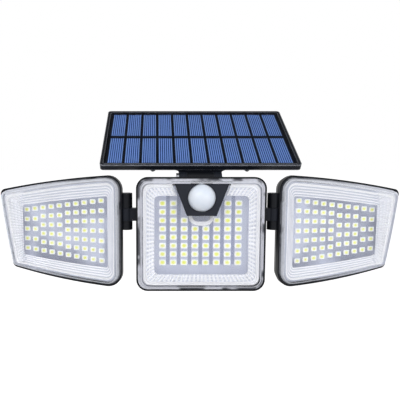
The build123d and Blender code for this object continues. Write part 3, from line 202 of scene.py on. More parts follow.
def rgba(r, g, b):
    return (*srgb(r, g, b), 1.0)


# ---------------------------------------------------------------- shared effects
def make_moulded_texture():
    """Fine satin grain of moulded plastic: a height and a roughness that varies."""
    group, t = new_group(
        "moulded_texture",
        [("Grain Size", "NodeSocketFloat", 1800.0), ("Roughness", "NodeSocketFloat", 0.45),
         ("Variation", "NodeSocketFloat", 0.12)],
        [("Height", "NodeSocketFloat"), ("Roughness", "NodeSocketFloat")],
    )
    inp = t.add("NodeGroupInput")
    out = t.add("NodeGroupOutput")
    place = t.place()
    grain = t.noise(place, inp.outputs[0], 3.0)
    patches = t.noise(place, 55.0, 4.0)
    t.put(out.inputs["Height"], grain)
    offset = t.times(t.maths("SUBTRACT", patches, 0.5), inp.outputs["Variation"])
    t.put(out.inputs["Roughness"], t.plus(inp.outputs["Roughness"], offset))
    return group


def make_edge_wear_and_light():
    """Mask that is 1 on sharp edges of the piece, broken up by noise, and soft edge normals."""
    group, t = new_group(
        "edge_wear_and_light",
        [("Width", "NodeSocketFloat", 0.0005), ("Amount", "NodeSocketFloat", 0.5),
         ("Gaps", "NodeSocketFloat", 1.0)],
        [("Mask", "NodeSocketFloat"), ("Normal", "NodeSocketVector")],
    )
    inp = t.add("NodeGroupInput")
    out = t.add("NodeGroupOutput")
    rounded = t.add("ShaderNodeBevel", {"Radius": inp.outputs["Width"]}, samples=4).outputs[0]
    flat = t.add("ShaderNodeNewGeometry").outputs["Normal"]
    dot = t.add("ShaderNodeVectorMath", {0: rounded, 1: flat}, operation="DOT_PRODUCT").outputs["Value"]
    edge = t.smooth(dot, 0.995, 0.86)
    place = t.place()
    spots = t.noise(place, 160.0, 5.0)
    kept = t.maths("SUBTRACT", 1.0, t.times(inp.outputs["Gaps"], t.smooth(spots, 0.7, 0.35)))
    broken = t.times(edge, kept)
    t.put(out.inputs["Mask"], t.times(broken, inp.outputs["Amount"]))
    t.put(out.inputs["Normal"], rounded)
    return group


def make_dust():
    """Light dust that gathers on faces that look up, thin and cloudy."""
    group, t = new_group(
        "settled_dust",
        [("Amount", "NodeSocketFloat", 0.1), ("Scale", "NodeSocketFloat", 45.0)],
        [("Mask", "NodeSocketFloat")],
    )
    inp = t.add("NodeGroupInput")
    out = t.add("NodeGroupOutput")
    up = t.split(t.add("ShaderNodeNewGeometry").outputs["Normal"])[2]
    place = t.place()
    cloud = t.noise(place, inp.outputs["Scale"], 6.0)
    lying = t.times(t.smooth(up, 0.2, 0.95), t.smooth(cloud, 0.35, 0.75))
    t.put(out.inputs["Mask"], t.times(lying, inp.outputs["Amount"]))
    return group


MOULDED = make_moulded_texture()
EDGES = make_edge_wear_and_light()
DUST = make_dust()


def group_node(t, group, **values):
    node = t.add("ShaderNodeGroup", node_tree=group)
    for key, value in values.items():
        t.put(node.inputs[key.replace("_", " ")], value)
    return node


def new_material(name, **constants):
    """Material with one Principled BSDF; constants go straight on its sockets."""
    material = bpy.data.materials.new(name)
    material.use_nodes = True
    t = Tree(material.node_tree)
    shader = next(n for n in t.nodes if n.type == "BSDF_PRINCIPLED")
    for key, value in constants.items():
        shader.inputs[key.replace("_", " ")].default_value = value
    return material, t, shader


def add_bump(t, shader, height, distance, strength=1.0, normal=None):
    bump = t.add("ShaderNodeBump", {"Height": height, "Distance": distance, "Strength": strength})
    if normal is not None:
        t.put(bump.inputs["Normal"], normal)
    t.put(shader.inputs["Normal"], bump.outputs[0])


def up_the_slope(t, y, z):
    """Distance up the panel's slope from its hinge, in millimetres."""
    tilt = math.radians(PANEL_TILT)
    along_y = t.times(t.maths("SUBTRACT", y, PANEL_HINGE[1] * MM), math.cos(tilt) / MM)
    along_z = t.times(t.maths("SUBTRACT", z, PANEL_HINGE[2] * MM), math.sin(tilt) / MM)
    return t.plus(along_y, along_z)


# ---------------------------------------------------------------- materials
def moulded_plastic(name, colour, wear_and_edge_lighting, roughness, grain=1800.0, bump=0.00003, wear_and_edge_lighting_amount=0.45, edge=0.0005,
                    dust=0.1, gloss=0.45, gaps=1.0, front_edge_highlight=False):
    """Opaque moulded plastic with grain, soft edges in their own colour and a little dust on top. The edge
    colour is wear on most plastics, a painted highlight on the panel's frame and painted shade on the sensor
    bezel. With the front flag, for the panel's frame, the painted highlight is strongest at its front."""
    material, t, shader = new_material(name, Specular_IOR_Level=gloss)
    texture = group_node(t, MOULDED, Grain_Size=grain, Roughness=roughness)
    edges = group_node(t, EDGES, Width=edge, Amount=wear_and_edge_lighting_amount, Gaps=gaps)
    dusty = group_node(t, DUST, Amount=dust)
    place = t.place()
    patches = t.noise(place, 30.0, 3.0)
    dark, light = ((*[c * share for c in colour], 1) for share in (0.86, 1.12))
    base = t.blend(t.smooth(patches, 0.3, 0.7), dark, light)
    mask = edges.outputs["Mask"]
    # painted highlight on the frame's edges, strongest along its front
    if front_edge_highlight:
        _, y, z = t.split(place)
        front = t.smooth(up_the_slope(t, y, z), *FRONT_EDGE_HIGHLIGHT)
        mask = t.times(mask, t.plus(0.3, t.times(front, 0.7)))
    base = t.blend(mask, base, (*wear_and_edge_lighting, 1))
    base = t.blend(dusty.outputs["Mask"], base, rgba(150, 148, 142))
    t.put(shader.inputs["Base Color"], base)
    t.put(shader.inputs["Roughness"], texture.outputs["Roughness"])
    add_bump(t, shader, texture.outputs["Height"], bump, 0.5, edges.outputs["Normal"])
    return material


def clear_polycarbonate(name, roughness, tint=(0.97, 0.98, 1.0), transmission=1.0, ior=1.49):
    """Polished clear cover: faint moulding ripple and fine scuffs in the roughness."""
    material, t, shader = new_material(
        name, IOR=ior, Transmission_Weight=transmission, Metallic=0.0)
    place = t.place()
    ripple = t.noise(place, 60.0, 2.0)
    scuffs = t.noise(place, 420.0, 6.0)
    t.put(shader.inputs["Base Color"], t.blend(
        t.smooth(ripple, 0.3, 0.7), (*[c * 0.985 for c in tint], 1), (*tint, 1)))
    t.put(shader.inputs["Roughness"], t.plus(roughness, t.times(t.smooth(scuffs, 0.62, 0.85), 0.1)))
    add_bump(t, shader, ripple, 0.00004, 0.3)
    return material


def cover_edge(name, light, dark, amount, fade, even):
    """Sloping rim of a cover: milky, with painted shade on it. The shade is broken dark streaks, as of the
    dark shell seen through the rim, that follow the depth behind the front, and a darker foot. Fade is the
    |x| where the painted shade is gone and the |x| where it is full. Even is how dark the painted shade at
    the foot of the rim stays between the streaks."""
    material, t, shader = new_material(
        name, IOR=1.49, Transmission_Weight=0.18, Metallic=0.0, Specular_IOR_Level=0.4)
    place = t.place()
    depth = t.add("ShaderNodeAttribute", attribute_name="depth_mm").outputs["Fac"]
    across = t.maths("ABSOLUTE", t.split(place)[0])
    long_wave = t.noise(place, 55.0, 2.0)
    short_wave = t.noise(place, 420.0, 3.0)
    wander = t.plus(depth, t.times(t.maths("SUBTRACT", short_wave, 0.5), 1.6))
    # painted shade: a darker foot deeper than 3.3 mm and dark streaks from 1.6 to 3.6 mm deep, broken up
    # along the rim
    low = t.smooth(wander, 3.3, 5.0)
    shade_streak = t.times(t.smooth(wander, 1.6, 2.4), t.smooth(wander, 3.6, 2.9))
    broken = t.smooth(long_wave, 0.46, 0.58)
    low = t.times(low, t.plus(even, t.times(broken, 1.0 - even)))
    painted_shade = t.maths("MAXIMUM", low, t.times(t.times(shade_streak, broken), 0.5))
    # the painted shade fades out with |x| between the two fade values
    painted_shade = t.times(t.times(painted_shade, amount), t.smooth(across, *[v * MM for v in fade]))
    pale = t.blend(t.smooth(short_wave, 0.3, 0.7), (*light, 1), (*[min(1.0, c * 1.12) for c in light], 1))
    t.put(shader.inputs["Base Color"], t.blend(painted_shade, pale, (*dark, 1)))
    t.put(shader.inputs["Roughness"], t.plus(0.14, t.times(long_wave, 0.12)))
    add_bump(t, shader, short_wave, 0.00004, 0.3)
    return material


def ribbed_cover(name, dark_at, light_at, shade_colour, even_to):
    """Milky prism ribs inside a cover, shaded by depth behind the front, from light_at to
    dark_at. The shade is even up to the |x| even_to, and weaker from 10 mm beyond it."""
    material, t, shader = new_material(name, IOR=1.49, Transmission_Weight=0.2, Metallic=0.0)
    place = t.place()
    depth = t.add("ShaderNodeAttribute", attribute_name="depth_mm").outputs["Fac"]
    cloud = t.noise(place, 50.0, 2.0)
    grain = t.noise(place, 700.0, 2.0)
    shade = t.times(t.smooth(depth, light_at, dark_at), t.smooth(depth, 4.2, 3.6))
    shade = t.times(shade, t.plus(0.55, t.times(cloud, 0.6)))
    across = t.maths("ABSOLUTE", t.split(place)[0])
    kept = t.smooth(across, (even_to + 10) * MM, even_to * MM)
    shade = t.times(shade, t.plus(0.4, t.times(kept, 0.6)))
    t.put(shader.inputs["Base Color"], t.blend(shade, rgba(253, 253, 255), rgba(*shade_colour)))
    t.put(shader.inputs["Roughness"], t.plus(0.12, t.times(grain, 0.12)))
    return material


def led_board_coat(name, x_pitch, z_span, band, depth):
    """Lavender grey solder mask, with broad darker bands between the led columns, inside the field of the
    leds. Band is half a darker band as a share of the pitch, and none are drawn where it is below 0. Depth
    darkens the cloudy patches."""
    material, t, shader = new_material(name, Specular_IOR_Level=0.3)
    place = t.place()
    x, _, z = t.split(place)
    turns = t.maths("FRACT", t.plus(t.maths("DIVIDE", x, x_pitch * MM), 0.5))
    off_middle = t.maths("ABSOLUTE", t.maths("SUBTRACT", turns, 0.5))
    dark_band = t.smooth(off_middle, band + 0.04, band - 0.04)
    inside = t.smooth(z, z_span[0] * MM, (z_span[0] + 1) * MM)
    inside = t.times(inside, t.smooth(z, z_span[1] * MM, (z_span[1] - 1) * MM))
    across = t.maths("ABSOLUTE", x)
    inside = t.times(inside, t.smooth(across, LED_FIELD_HALF * MM, (LED_FIELD_HALF - 1) * MM))
    dark_band = t.times(dark_band, inside)
    cloud = t.noise(place, 26.0, 3.0)
    weave = t.noise(place, 2400.0, 2.0)
    patch = rgba(*[c - depth for c in (182, 186, 204)])
    coat = t.blend(t.smooth(cloud, 0.35, 0.65), patch, rgba(196, 200, 216))
    # darker bands between the led columns
    coat = t.blend(t.times(dark_band, 0.9), coat, rgba(138, 144, 170))
    t.put(shader.inputs["Base Color"], coat)
    t.put(shader.inputs["Roughness"], t.plus(0.42, t.times(weave, 0.15)))
    add_bump(t, shader, t.plus(weave, t.times(dark_band, 3.0)), 0.00003, 0.5)
    return material


def led_materials():
    """White package body, solder pads and the phosphor, which is yellow green in its middle."""
    body, t, shader = new_material("led_package_white", Specular_IOR_Level=0.5)
    place = t.place()
    grain = t.noise(place, 900.0, 2.0)
    t.put(shader.inputs["Base Color"], t.blend(grain, rgba(246, 247, 248), rgba(252, 253, 253)))
    t.put(shader.inputs["Roughness"], t.plus(0.3, t.times(grain, 0.2)))

    phosphor, t, shader = new_material("led_phosphor", Coat_Weight=0.4, Coat_Roughness=0.12)
    uv = t.add("ShaderNodeUVMap", uv_map="UVMap").outputs[0]
    away = t.add("ShaderNodeVectorMath", {0: uv, 1: (0.5, 0.5, 0.0)}, operation="DISTANCE").outputs["Value"]
    tone = t.add("ShaderNodeAttribute", attribute_name="led_tone").outputs["Fac"]
    place = t.place()
    speckle = t.noise(place, 1600.0, 3.0)
    away = t.plus(away, t.times(t.maths("SUBTRACT", speckle, 0.5), 0.1))
    bright = t.ramp(away, [(0.0, srgb(226, 231, 66)), (0.24, srgb(234, 238, 102)),
                           (0.37, srgb(247, 248, 190)), (0.46, srgb(253, 253, 248))])
    pale = t.ramp(away, [(0.0, srgb(238, 238, 120)), (0.18, srgb(243, 243, 156)),
                         (0.33, srgb(249, 249, 212)), (0.44, srgb(253, 253, 248))])
    t.put(shader.inputs["Base Color"], t.blend(tone, bright, pale))
    t.put(shader.inputs["Roughness"], t.plus(0.3, t.times(speckle, 0.2)))

    pads, t, shader = new_material("led_solder", Metallic=1.0)
    place = t.place()
    wave = t.noise(place, 1200.0, 2.0)
    t.put(shader.inputs["Base Color"], t.blend(wave, rgba(196, 197, 200), rgba(226, 227, 230)))
    t.put(shader.inputs["Roughness"], t.plus(0.22, t.times(wave, 0.2)))
    return body, phosphor, pads


def solar_cell_material():
    """Blue silicon with fine silver fingers along the slope of the panel, dark at the edges of
    each cell."""
    material, t, shader = new_material("solar_silicon", Coat_Weight=0.1, Coat_Roughness=0.2,
                                       Specular_IOR_Level=0.2)
    place = t.place()
    x, y, z = t.split(place)
    width, length = CELL_SIZE
    pitch_x, pitch_y = CELL_PITCH
    turns = t.maths("FRACT", t.plus(t.maths("DIVIDE", x, pitch_x * MM), 0.5))
    in_cell = t.times(t.maths("SUBTRACT", turns, 0.5), pitch_x)
    slope = t.maths("SUBTRACT", up_the_slope(t, y, z), PANEL_MIDDLE)
    in_row = t.maths("SUBTRACT", t.maths("ABSOLUTE", slope), pitch_y / 2)
    margin_x, margin_y = CELL_MARGIN
    edge_x = t.smooth(t.maths("ABSOLUTE", in_cell), *[width / 2 - m for m in margin_x])
    edge_y = t.smooth(t.maths("ABSOLUTE", in_row), *[length / 2 - m for m in margin_y])
    edge = t.maths("MAXIMUM", edge_x, edge_y)
    fingers = t.maths("FRACT", t.plus(t.maths("DIVIDE", in_cell, FINGER_PITCH), 0.5))
    line = t.smooth(t.maths("ABSOLUTE", t.maths("SUBTRACT", fingers, 0.5)), 0.3, 0.16)
    crystals = t.add("ShaderNodeTexVoronoi", {"Vector": place, "Scale": 260.0}).outputs["Color"]
    grain = t.add("ShaderNodeSeparateColor", {0: crystals}).outputs[0]
    cloud = t.noise(place, 22.0, 3.0)
    blue = t.blend(t.smooth(cloud, 0.3, 0.7), rgba(8, 32, 84), rgba(14, 42, 98))
    blue = t.blend(t.times(grain, 0.2), blue, rgba(40, 80, 150))
    blue = t.blend(line, blue, rgba(104, 134, 188))
    t.put(shader.inputs["Base Color"], t.blend(edge, blue, rgba(12, 16, 28)))
    t.put(shader.inputs["Roughness"], t.plus(0.3, t.times(line, 0.15)))
    add_bump(t, shader, line, 0.00002, 0.5)
    return material


def metal_finish(name, colour, roughness, scale=400.0):
    """Plated or drawn metal with fine scratches and slight stains."""
    material, t, shader = new_material(name, Metallic=1.0)
    place = t.place()
    scratches = t.noise(place, scale, 5.0)
    stains = t.noise(place, 90.0, 3.0)
    edges = group_node(t, EDGES, Width=0.0003, Amount=0.4)
    base = t.blend(t.smooth(stains, 0.3, 0.75), (*colour, 1), (*[c * 0.8 for c in colour], 1))
    t.put(shader.inputs["Base Color"], base)
    t.put(shader.inputs["Roughness"], t.plus(roughness, t.times(scratches, 0.2)))
    add_bump(t, shader, scratches, 0.00002, 0.4, edges.outputs["Normal"])
    return material


def milky_dome_material():
    """Milky moulded polyethylene with a slight blue cast, and cloudy light inside."""
    material, t, shader = new_material(
        "milky_dome", Subsurface_Weight=0.35, Subsurface_Scale=0.004, Coat_Weight=0.3, Coat_Roughness=0.15)
    shader.inputs["Subsurface Radius"].default_value = (1.0, 1.0, 1.0)
    place = t.place()
    cloud = t.noise(place, 60.0, 3.0)
    grain = t.noise(place, 900.0, 2.0)
    t.put(shader.inputs["Base Color"], t.blend(
        t.smooth(cloud, 0.3, 0.7), rgba(222, 230, 243), rgba(231, 237, 247)))
    t.put(shader.inputs["Roughness"], t.plus(0.28, t.times(grain, 0.14)))
    add_bump(t, shader, grain, 0.00002, 0.3)
    return material


CLEAR, RIBBED, EDGE = 0, 1, 2       # material slots of a cover

black_plastic = moulded_plastic("black_shell_plastic", srgb(18, 20, 25), srgb(64, 68, 78), 0.4,
                                dust=0.03, gloss=0.16)
hinge_plastic = moulded_plastic("black_hinge_plastic", srgb(27, 30, 38), srgb(58, 62, 72), 0.46,
                                dust=0.03, gloss=0.14)
# pale edge colour: a painted highlight along the frame's edges, brightest at the front
frame_plastic = moulded_plastic("panel_frame_plastic", srgb(21, 24, 32), srgb(184, 188, 198), 0.34,
                                edge=0.002, wear_and_edge_lighting_amount=1.0, dust=0.03, gloss=0.16, gaps=0.35, front_edge_highlight=True)
# dark edge colour: painted shade round the edges of the bezel
bezel_plastic = moulded_plastic("slate_bezel_plastic", srgb(33, 36, 45), srgb(14, 16, 21), 0.42,
                                edge=0.0006, wear_and_edge_lighting_amount=0.6, dust=0.0, gloss=0.2)
inner_plastic = moulded_plastic("inner_black_plastic", srgb(40, 40, 43), srgb(90, 90, 92), 0.5, dust=0.0)
white_nylon = moulded_plastic("white_nylon", srgb(228, 228, 222), srgb(240, 240, 236), 0.45, dust=0.0)
green_board = moulded_plastic("green_solder_mask", srgb(22, 92, 52), srgb(150, 160, 120), 0.35, dust=0.0)
chip_plastic = moulded_plastic("chip_epoxy", srgb(38, 38, 40), srgb(70, 70, 72), 0.5, dust=0.0)
backing_laminate = moulded_plastic("dark_laminate", srgb(8, 11, 18), srgb(16, 20, 30), 0.4, dust=0.0,
                                   gloss=0.1)
seal_rubber = moulded_plastic("seal_silicone", srgb(52, 52, 55), srgb(70, 70, 74), 0.7, grain=700.0, dust=0.0)
button_rubber = moulded_plastic("button_rubber", srgb(46, 46, 50), srgb(90, 90, 94), 0.65, grain=900.0,
                                dust=0.0)
sleeve_film = moulded_plastic("battery_film", srgb(52, 108, 178), srgb(120, 160, 205), 0.25, dust=0.0)
clear_cover = clear_polycarbonate("clear_cover", 0.02)
main_ribs = ribbed_cover("main_cover_ribs", 3.3, 2.65, (208, 212, 226), 100)
side_ribs = ribbed_cover("side_cover_ribs", 2.52, 2.95, (190, 195, 211), 168)
# painted shade on the rims: full all round the main head, fading towards the outer ends of the side heads
main_edge = cover_edge("main_cover_edge", srgb(222, 224, 234), srgb(26, 31, 44), 0.9, (-2, -1), 0.1)
side_edge = cover_edge("side_cover_edge", srgb(222, 225, 234), srgb(30, 34, 44), 0.95, (178, 100), 0.8)
panel_glass = clear_polycarbonate("panel_cover", 0.0, ior=1.14)
zinc_screw = metal_finish("zinc_screw", srgb(176, 178, 182), 0.28)
nickel_strip = metal_finish("nickel_strip", srgb(200, 196, 186), 0.2)
sensor_can = metal_finish("sensor_can", srgb(196, 194, 186), 0.24)
led_body, led_phosphor, led_solder = led_materials()
solar_silicon = solar_cell_material()
milky_dome = milky_dome_material()
main_board_coat = led_board_coat("main_board_coat", MAIN_LED_PITCH[0], (-30, 60), 0.16, 0)
side_board_coat = led_board_coat("side_board_coat", SIDE_LED_PITCH, (-90, 90), -0.1, 38)


# ---------------------------------------------------------------- piece helpers
def add_object(name, data):
    made = bpy.data.objects.new(name, data)
    bpy.context.scene.collection.objects.link(made)
    return made


def make_piece(name, bm, place, body, materials, replaces=()):
    """Mesh object in the row frame from a bmesh drawn in millimetres."""
    bmesh.ops.transform(bm, matrix=Matrix.Scale(MM, 4) @ place, verts=bm.verts)
    bmesh.ops.recalc_face_normals(bm, faces=bm.faces)
    mesh = bpy.data.meshes.new(name)
    bm.to_mesh(mesh)
    bm.free()
    for material in materials:
        mesh.materials.append(material)
    piece = add_object(name, mesh)
    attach(piece, body)
    if replaces:
        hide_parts(*replaces)
    return piece


def finish_with(bm, cutters, mode):
    """Joins or cuts closed bmesh shapes, drawn in the same millimetres, and gives a new bmesh."""
    temp = []
    for source in [bm, *cutters]:
        bmesh.ops.recalc_face_normals(source, faces=source.faces)
        mesh = bpy.data.meshes.new("shape")
        source.to_mesh(mesh)
        for _ in (CLEAR, RIBBED, EDGE):
            mesh.materials.append(None)
        source.free()
        temp.append(add_object("shape", mesh))
    for cutter in temp[1:]:
        step = temp[0].modifiers.new("cut", "BOOLEAN")
        step.operation = mode
        step.solver = "MANIFOLD"
        step.object = cutter
    bpy.context.view_layer.update()
    graph = bpy.context.evaluated_depsgraph_get()
    made = bmesh.new()
    made.from_mesh(temp[0].evaluated_get(graph).to_mesh())
    for shape in temp:
        mesh = shape.data
        bpy.data.objects.remove(shape)
        bpy.data.meshes.remove(mesh)
    return made


def painted(bm, material_index):
    """The same bmesh with all its faces in one material slot."""
    for face in bm.faces:
        face.material_index = material_index
    return bm


def joined(bm, others):
    """Adds closed bmesh shapes to a bmesh without cutting either."""
    for other in others:
        mesh = bpy.data.meshes.new("shape")
        other.to_mesh(mesh)
        other.free()
        bm.from_mesh(mesh)
        bpy.data.meshes.remove(mesh)
    return bm


def screw_post(x, z, start, screw_start, end):
    """Round post behind a cover's ribs, bored from behind for its screw."""
    post, bore = POST_RADII
    return finish_with(painted(rod(post, start, end, x, z), RIBBED),
                       [painted(rod(bore, screw_start, end + 1.0, x, z, 12), RIBBED)], "DIFFERENCE")


def rod(radius, start, end, x, z, segments=24):
    """Closed rod along Y, in millimetres."""
    bm = bmesh.new()
    bmesh.ops.create_cone(
        bm, cap_ends=True, segments=segments, radius1=radius, radius2=radius, depth=end - start,
        matrix=Matrix.Translation((x, (start + end) / 2, z)) @ Matrix.Rotation(math.pi / 2, 4, "X"),
    )
    return bm


# ---------------------------------------------------------------- outlines of the heads
def drawn_in(corners, inset):
    """The four corners of an outline, drawn in by inset, or grown where inset is negative."""
    if not inset:
        return list(corners)
    bm = bmesh.new()
    face = bm.faces.new([bm.verts.new((x, 0, z)) for x, z in corners])
    face.normal_update()
    bmesh.ops.inset_region(bm, faces=[face], thickness=abs(inset), use_boundary=True, use_even_offset=True)
    inner = [(v.co.x, v.co.z) for v in face.verts]
    bm.free()
    return inner if inset > 0 else between(corners, inner, -1.0)


def between(first, second, share):
    """Corners part of the way from one outline to another."""
    return [(a + (c - a) * share, b + (d - b) * share) for (a, b), (c, d) in zip(first, second)]


def outline_points(corners, radii, depth, cuts, rise=0.0, rise_from=-1000.0):
    """Points of an outline with rounded corners, in order from the low end of the left side
    upwards. Cuts divide the long and short sides; rise brings every second point forward, from
    the given x outwards."""
    bm = bmesh.new()
    face = bm.faces.new([bm.verts.new((x, depth, z)) for x, z in corners])
    for i, vert in enumerate(list(face.verts)):
        here, last, following = (Vector(corners[k]) for k in (i, i - 1, (i + 1) % 4))
        turn = (here - last).angle(following - here)
        bmesh.ops.bevel(bm, geom=[vert], offset=radii[i] * math.tan(turn / 2), offset_type="OFFSET",
                        segments=6, profile=0.5, affect="VERTICES", material=-1)
    for edge in sorted(bm.edges, key=lambda e: -e.calc_length())[:4]:
        along = edge.verts[0].co - edge.verts[1].co
        bmesh.ops.subdivide_edges(bm, edges=[edge], cuts=cuts[0] if abs(along.x) > abs(along.z) else cuts[1])
    start = min(bm.verts, key=lambda v: (round(v.co.x, 3), v.co.z))
    order = [start, max((e.other_vert(start) for e in start.link_edges), key=lambda v: v.co.z)]
    while len(order) < len(bm.verts):
        last, here = order[-2:]
        order.append(next(e.other_vert(here) for e in here.link_edges if e.other_vert(here) is not last))
    points = [v.co.copy() for v in order]
    bm.free()
    for point in points[1::2]:
        if point.x > rise_from:
            point.y -= rise
    return points


def filled_loop(points):
    """Flat face with the given outline."""
    bm = bmesh.new()
    verts = bmesh.ops.create_circle(bm, cap_ends=True, segments=len(points), radius=1.0)["verts"]
    for vert, point in zip(verts, points):
        vert.co = point
    return bm, verts


def ring_edges(ring):
    """The edges between the vertices of a closed ring, in their order."""
    return [next(e for e in a.link_edges if e.other_vert(a) is b) for a, b in zip(ring, ring[1:] + ring[:1])]


def next_loop(bm, ring, points, material_index):
    """Extrudes the ring of an outline to the next outline, and gives the new ring."""
    made = bmesh.ops.extrude_edge_only(bm, edges=ring_edges(ring))["geom"]
    fresh = {v for v in made if isinstance(v, bmesh.types.BMVert)}
    ring = [next(e.other_vert(v) for e in v.link_edges if e.other_vert(v) in fresh) for v in ring]
    for vert, point in zip(ring, points):
        vert.co = point
    for face in made:
        if isinstance(face, bmesh.types.BMFace):
            face.material_index = material_index
    return ring


def ring_shape(stations, cuts, rise_from=-1000.0):
    """Closed solid from loops that run from the middle of the front over the edge to the middle
    of the back. A station is corners, radii, depth, rib rise and the material of the band after it."""
    loops = [outline_points(corners, radii, depth, cuts, rise, rise_from)
             for corners, radii, depth, rise, _ in stations]
    bm, ring = filled_loop(loops[0])
    for points, station in zip(loops[1:], stations):
        ring = next_loop(bm, ring, points, station[4])
    bmesh.ops.edgeloop_fill(bm, edges=ring_edges(ring))
    return bm


def extruded(bm, reach):
    """Closed prism from a flat face, reach deep."""
    made = bmesh.ops.extrude_face_region(bm, geom=list(bm.faces))["geom"]
    bmesh.ops.translate(bm, vec=(0, reach, 0), verts=[v for v in made if isinstance(v, bmesh.types.BMVert)])
    return bm


# ---------------------------------------------------------------- lens covers
MAIN_CORNERS = tuple((x * MAIN_HALF[0], z * MAIN_HALF[1]) for x, z in ((-1, -1), (1, -1), (1, 1), (-1, 1)))


def main_cover_stations():
    profile = [     # inset, depth, corner radius, rib rise, material of the band that follows
        (6.4, 0.0, 7.0, 0, CLEAR), (5.5, 0.12, 7.2, 0, EDGE), (5.0, 0.5, 7.4, 0, EDGE),
        (4.7, 1.1, 7.5, 0, EDGE), (3.2, 4.8, 8.4, 0, EDGE), (2.9, 5.2, 8.6, 0, EDGE),
        (1.7, 5.2, 9.3, 0, EDGE), (1.45, 5.45, 9.5, 0, EDGE), (1.45, 7.2, 9.5, 0, EDGE),
        (4.6, 7.2, 7.4, 0, EDGE), (4.9, 6.6, 7.2, 0, EDGE), (6.5, 2.6, 6.8, 0, RIBBED),
        (6.9, 2.2, 6.7, 0, RIBBED), (7.6, 2.2, 6.6, 0, RIBBED), (7.8, 2.9, 6.6, 0, RIBBED),
        (8.6, 2.9, 6.5, 0, RIBBED), (8.8, 2.2, 6.5, 0, RIBBED), (9.5, 2.2, 6.4, 0, RIBBED),
        (9.8, 3.2, 6.4, 0, RIBBED), (10.2, 3.3, 6.3, 0.7, RIBBED), (11.9, 3.3, 6.0, 0.7, RIBBED),
        (12.1, 2.6, 6.0, 0, RIBBED), (12.5, 2.6, 5.9, 0, RIBBED), (12.7, 3.3, 5.8, 0.7, RIBBED),
        (14.4, 3.3, 5.4, 0.7, RIBBED), (14.6, 2.6, 5.4, 0, RIBBED), (14.9, 2.6, 5.3, 0, RIBBED),
        (15.1, 3.2, 5.2, 0.6, RIBBED), (16.4, 3.2, 4.8, 0.6, RIBBED), (16.75, 3.0, 4.6, 0, RIBBED),
        (17.1, 2.0, 4.4, 0, CLEAR),
    ]
    return [(drawn_in(MAIN_CORNERS, inset), (radius,) * 4, depth, rise, material)
            for inset, depth, radius, rise, material in profile]


def bezel_shape(grow, start, end):
    """Closed trapezoid prism round the sensor."""
    corners = drawn_in(BEZEL, -grow)
    return extruded(filled_loop([(x, start, z) for x, z in corners])[0], end - start)


def well_shape(wall, tail_wall, start, end):
    """Closed round well behind the dome, with its tail below, cut off under the cover's rim."""
    half = WELL_TAIL["half"] - tail_wall
    bottom, top = WELL_TAIL["bottom"] + tail_wall, WELL_TAIL["top"]
    corners = [(-half, bottom), (half, bottom), (half, top), (-half, top)]
    radius = WELL_TAIL["radius"] - tail_wall
    points = outline_points(corners, (radius, radius, 0.5, 0.5), start, (6, 6))
    tail = extruded(filled_loop(points)[0], end - start)
    both = finish_with(tail, [rod(WELL_RADIUS - wall, start, end, 0, SENSOR_Z, 64)], "UNION")
    rim = bmesh.new()
    above = Matrix.Translation((0, 5, WELL_TOP - WELL_TOP_WALL * wall + 10))
    bmesh.ops.create_cube(rim, size=1.0, matrix=above @ Matrix.Diagonal((80, 30, 20, 1)))
    return finish_with(both, [rim], "DIFFERENCE")


def make_main_cover():
    body = ring_shape(main_cover_stations(), (44, 36))
    well = finish_with(well_shape(0, 0, 1.0, 7.0), [well_shape(*WELL_WALLS, 0.5, 8.0)], "DIFFERENCE")
    for face in well.faces:
        face.material_index = RIBBED if face.calc_center_median().z < WELL_SHADED_BELOW else CLEAR
    places = [(x * MAIN_POST[0], z * MAIN_POST[1]) for x in (-1, 1) for z in (-1, 1)]
    body = finish_with(body, [bezel_shape(BEZEL_LAND, 1.0, 3.0)], "UNION")
    body = finish_with(body, [well_shape(*WELL_WALLS, 2.0, 8.0)], "DIFFERENCE")
    body = finish_with(body, [well], "UNION")
    cuts = [bezel_shape(BEZEL_GAP, -1.0, 1.1), rod(DOME_HOLE, -1.0, 8.0, 0, SENSOR_Z, 64)]
    body = finish_with(body, cuts, "DIFFERENCE")
    body = joined(body, [screw_post(x, z, *MAIN_POST_DEPTHS) for x, z in places])
    return make_cover("main_clear_cover", body, MAIN_FRAME, "wall_lamp", (main_ribs, main_edge),
                      "main_lens_cover")


def make_cover(name, body, place, rides_on, finishes, node):
    """Cover piece with its depth behind the front kept for the rim's material."""
    depths = body.verts.layers.float.new("depth_mm")
    for vert in body.verts:
        vert[depths] = vert.co.y
    piece = make_piece(name, body, place, rides_on, [clear_cover, *finishes], [node])
    piece.visible_shadow = False
    return piece


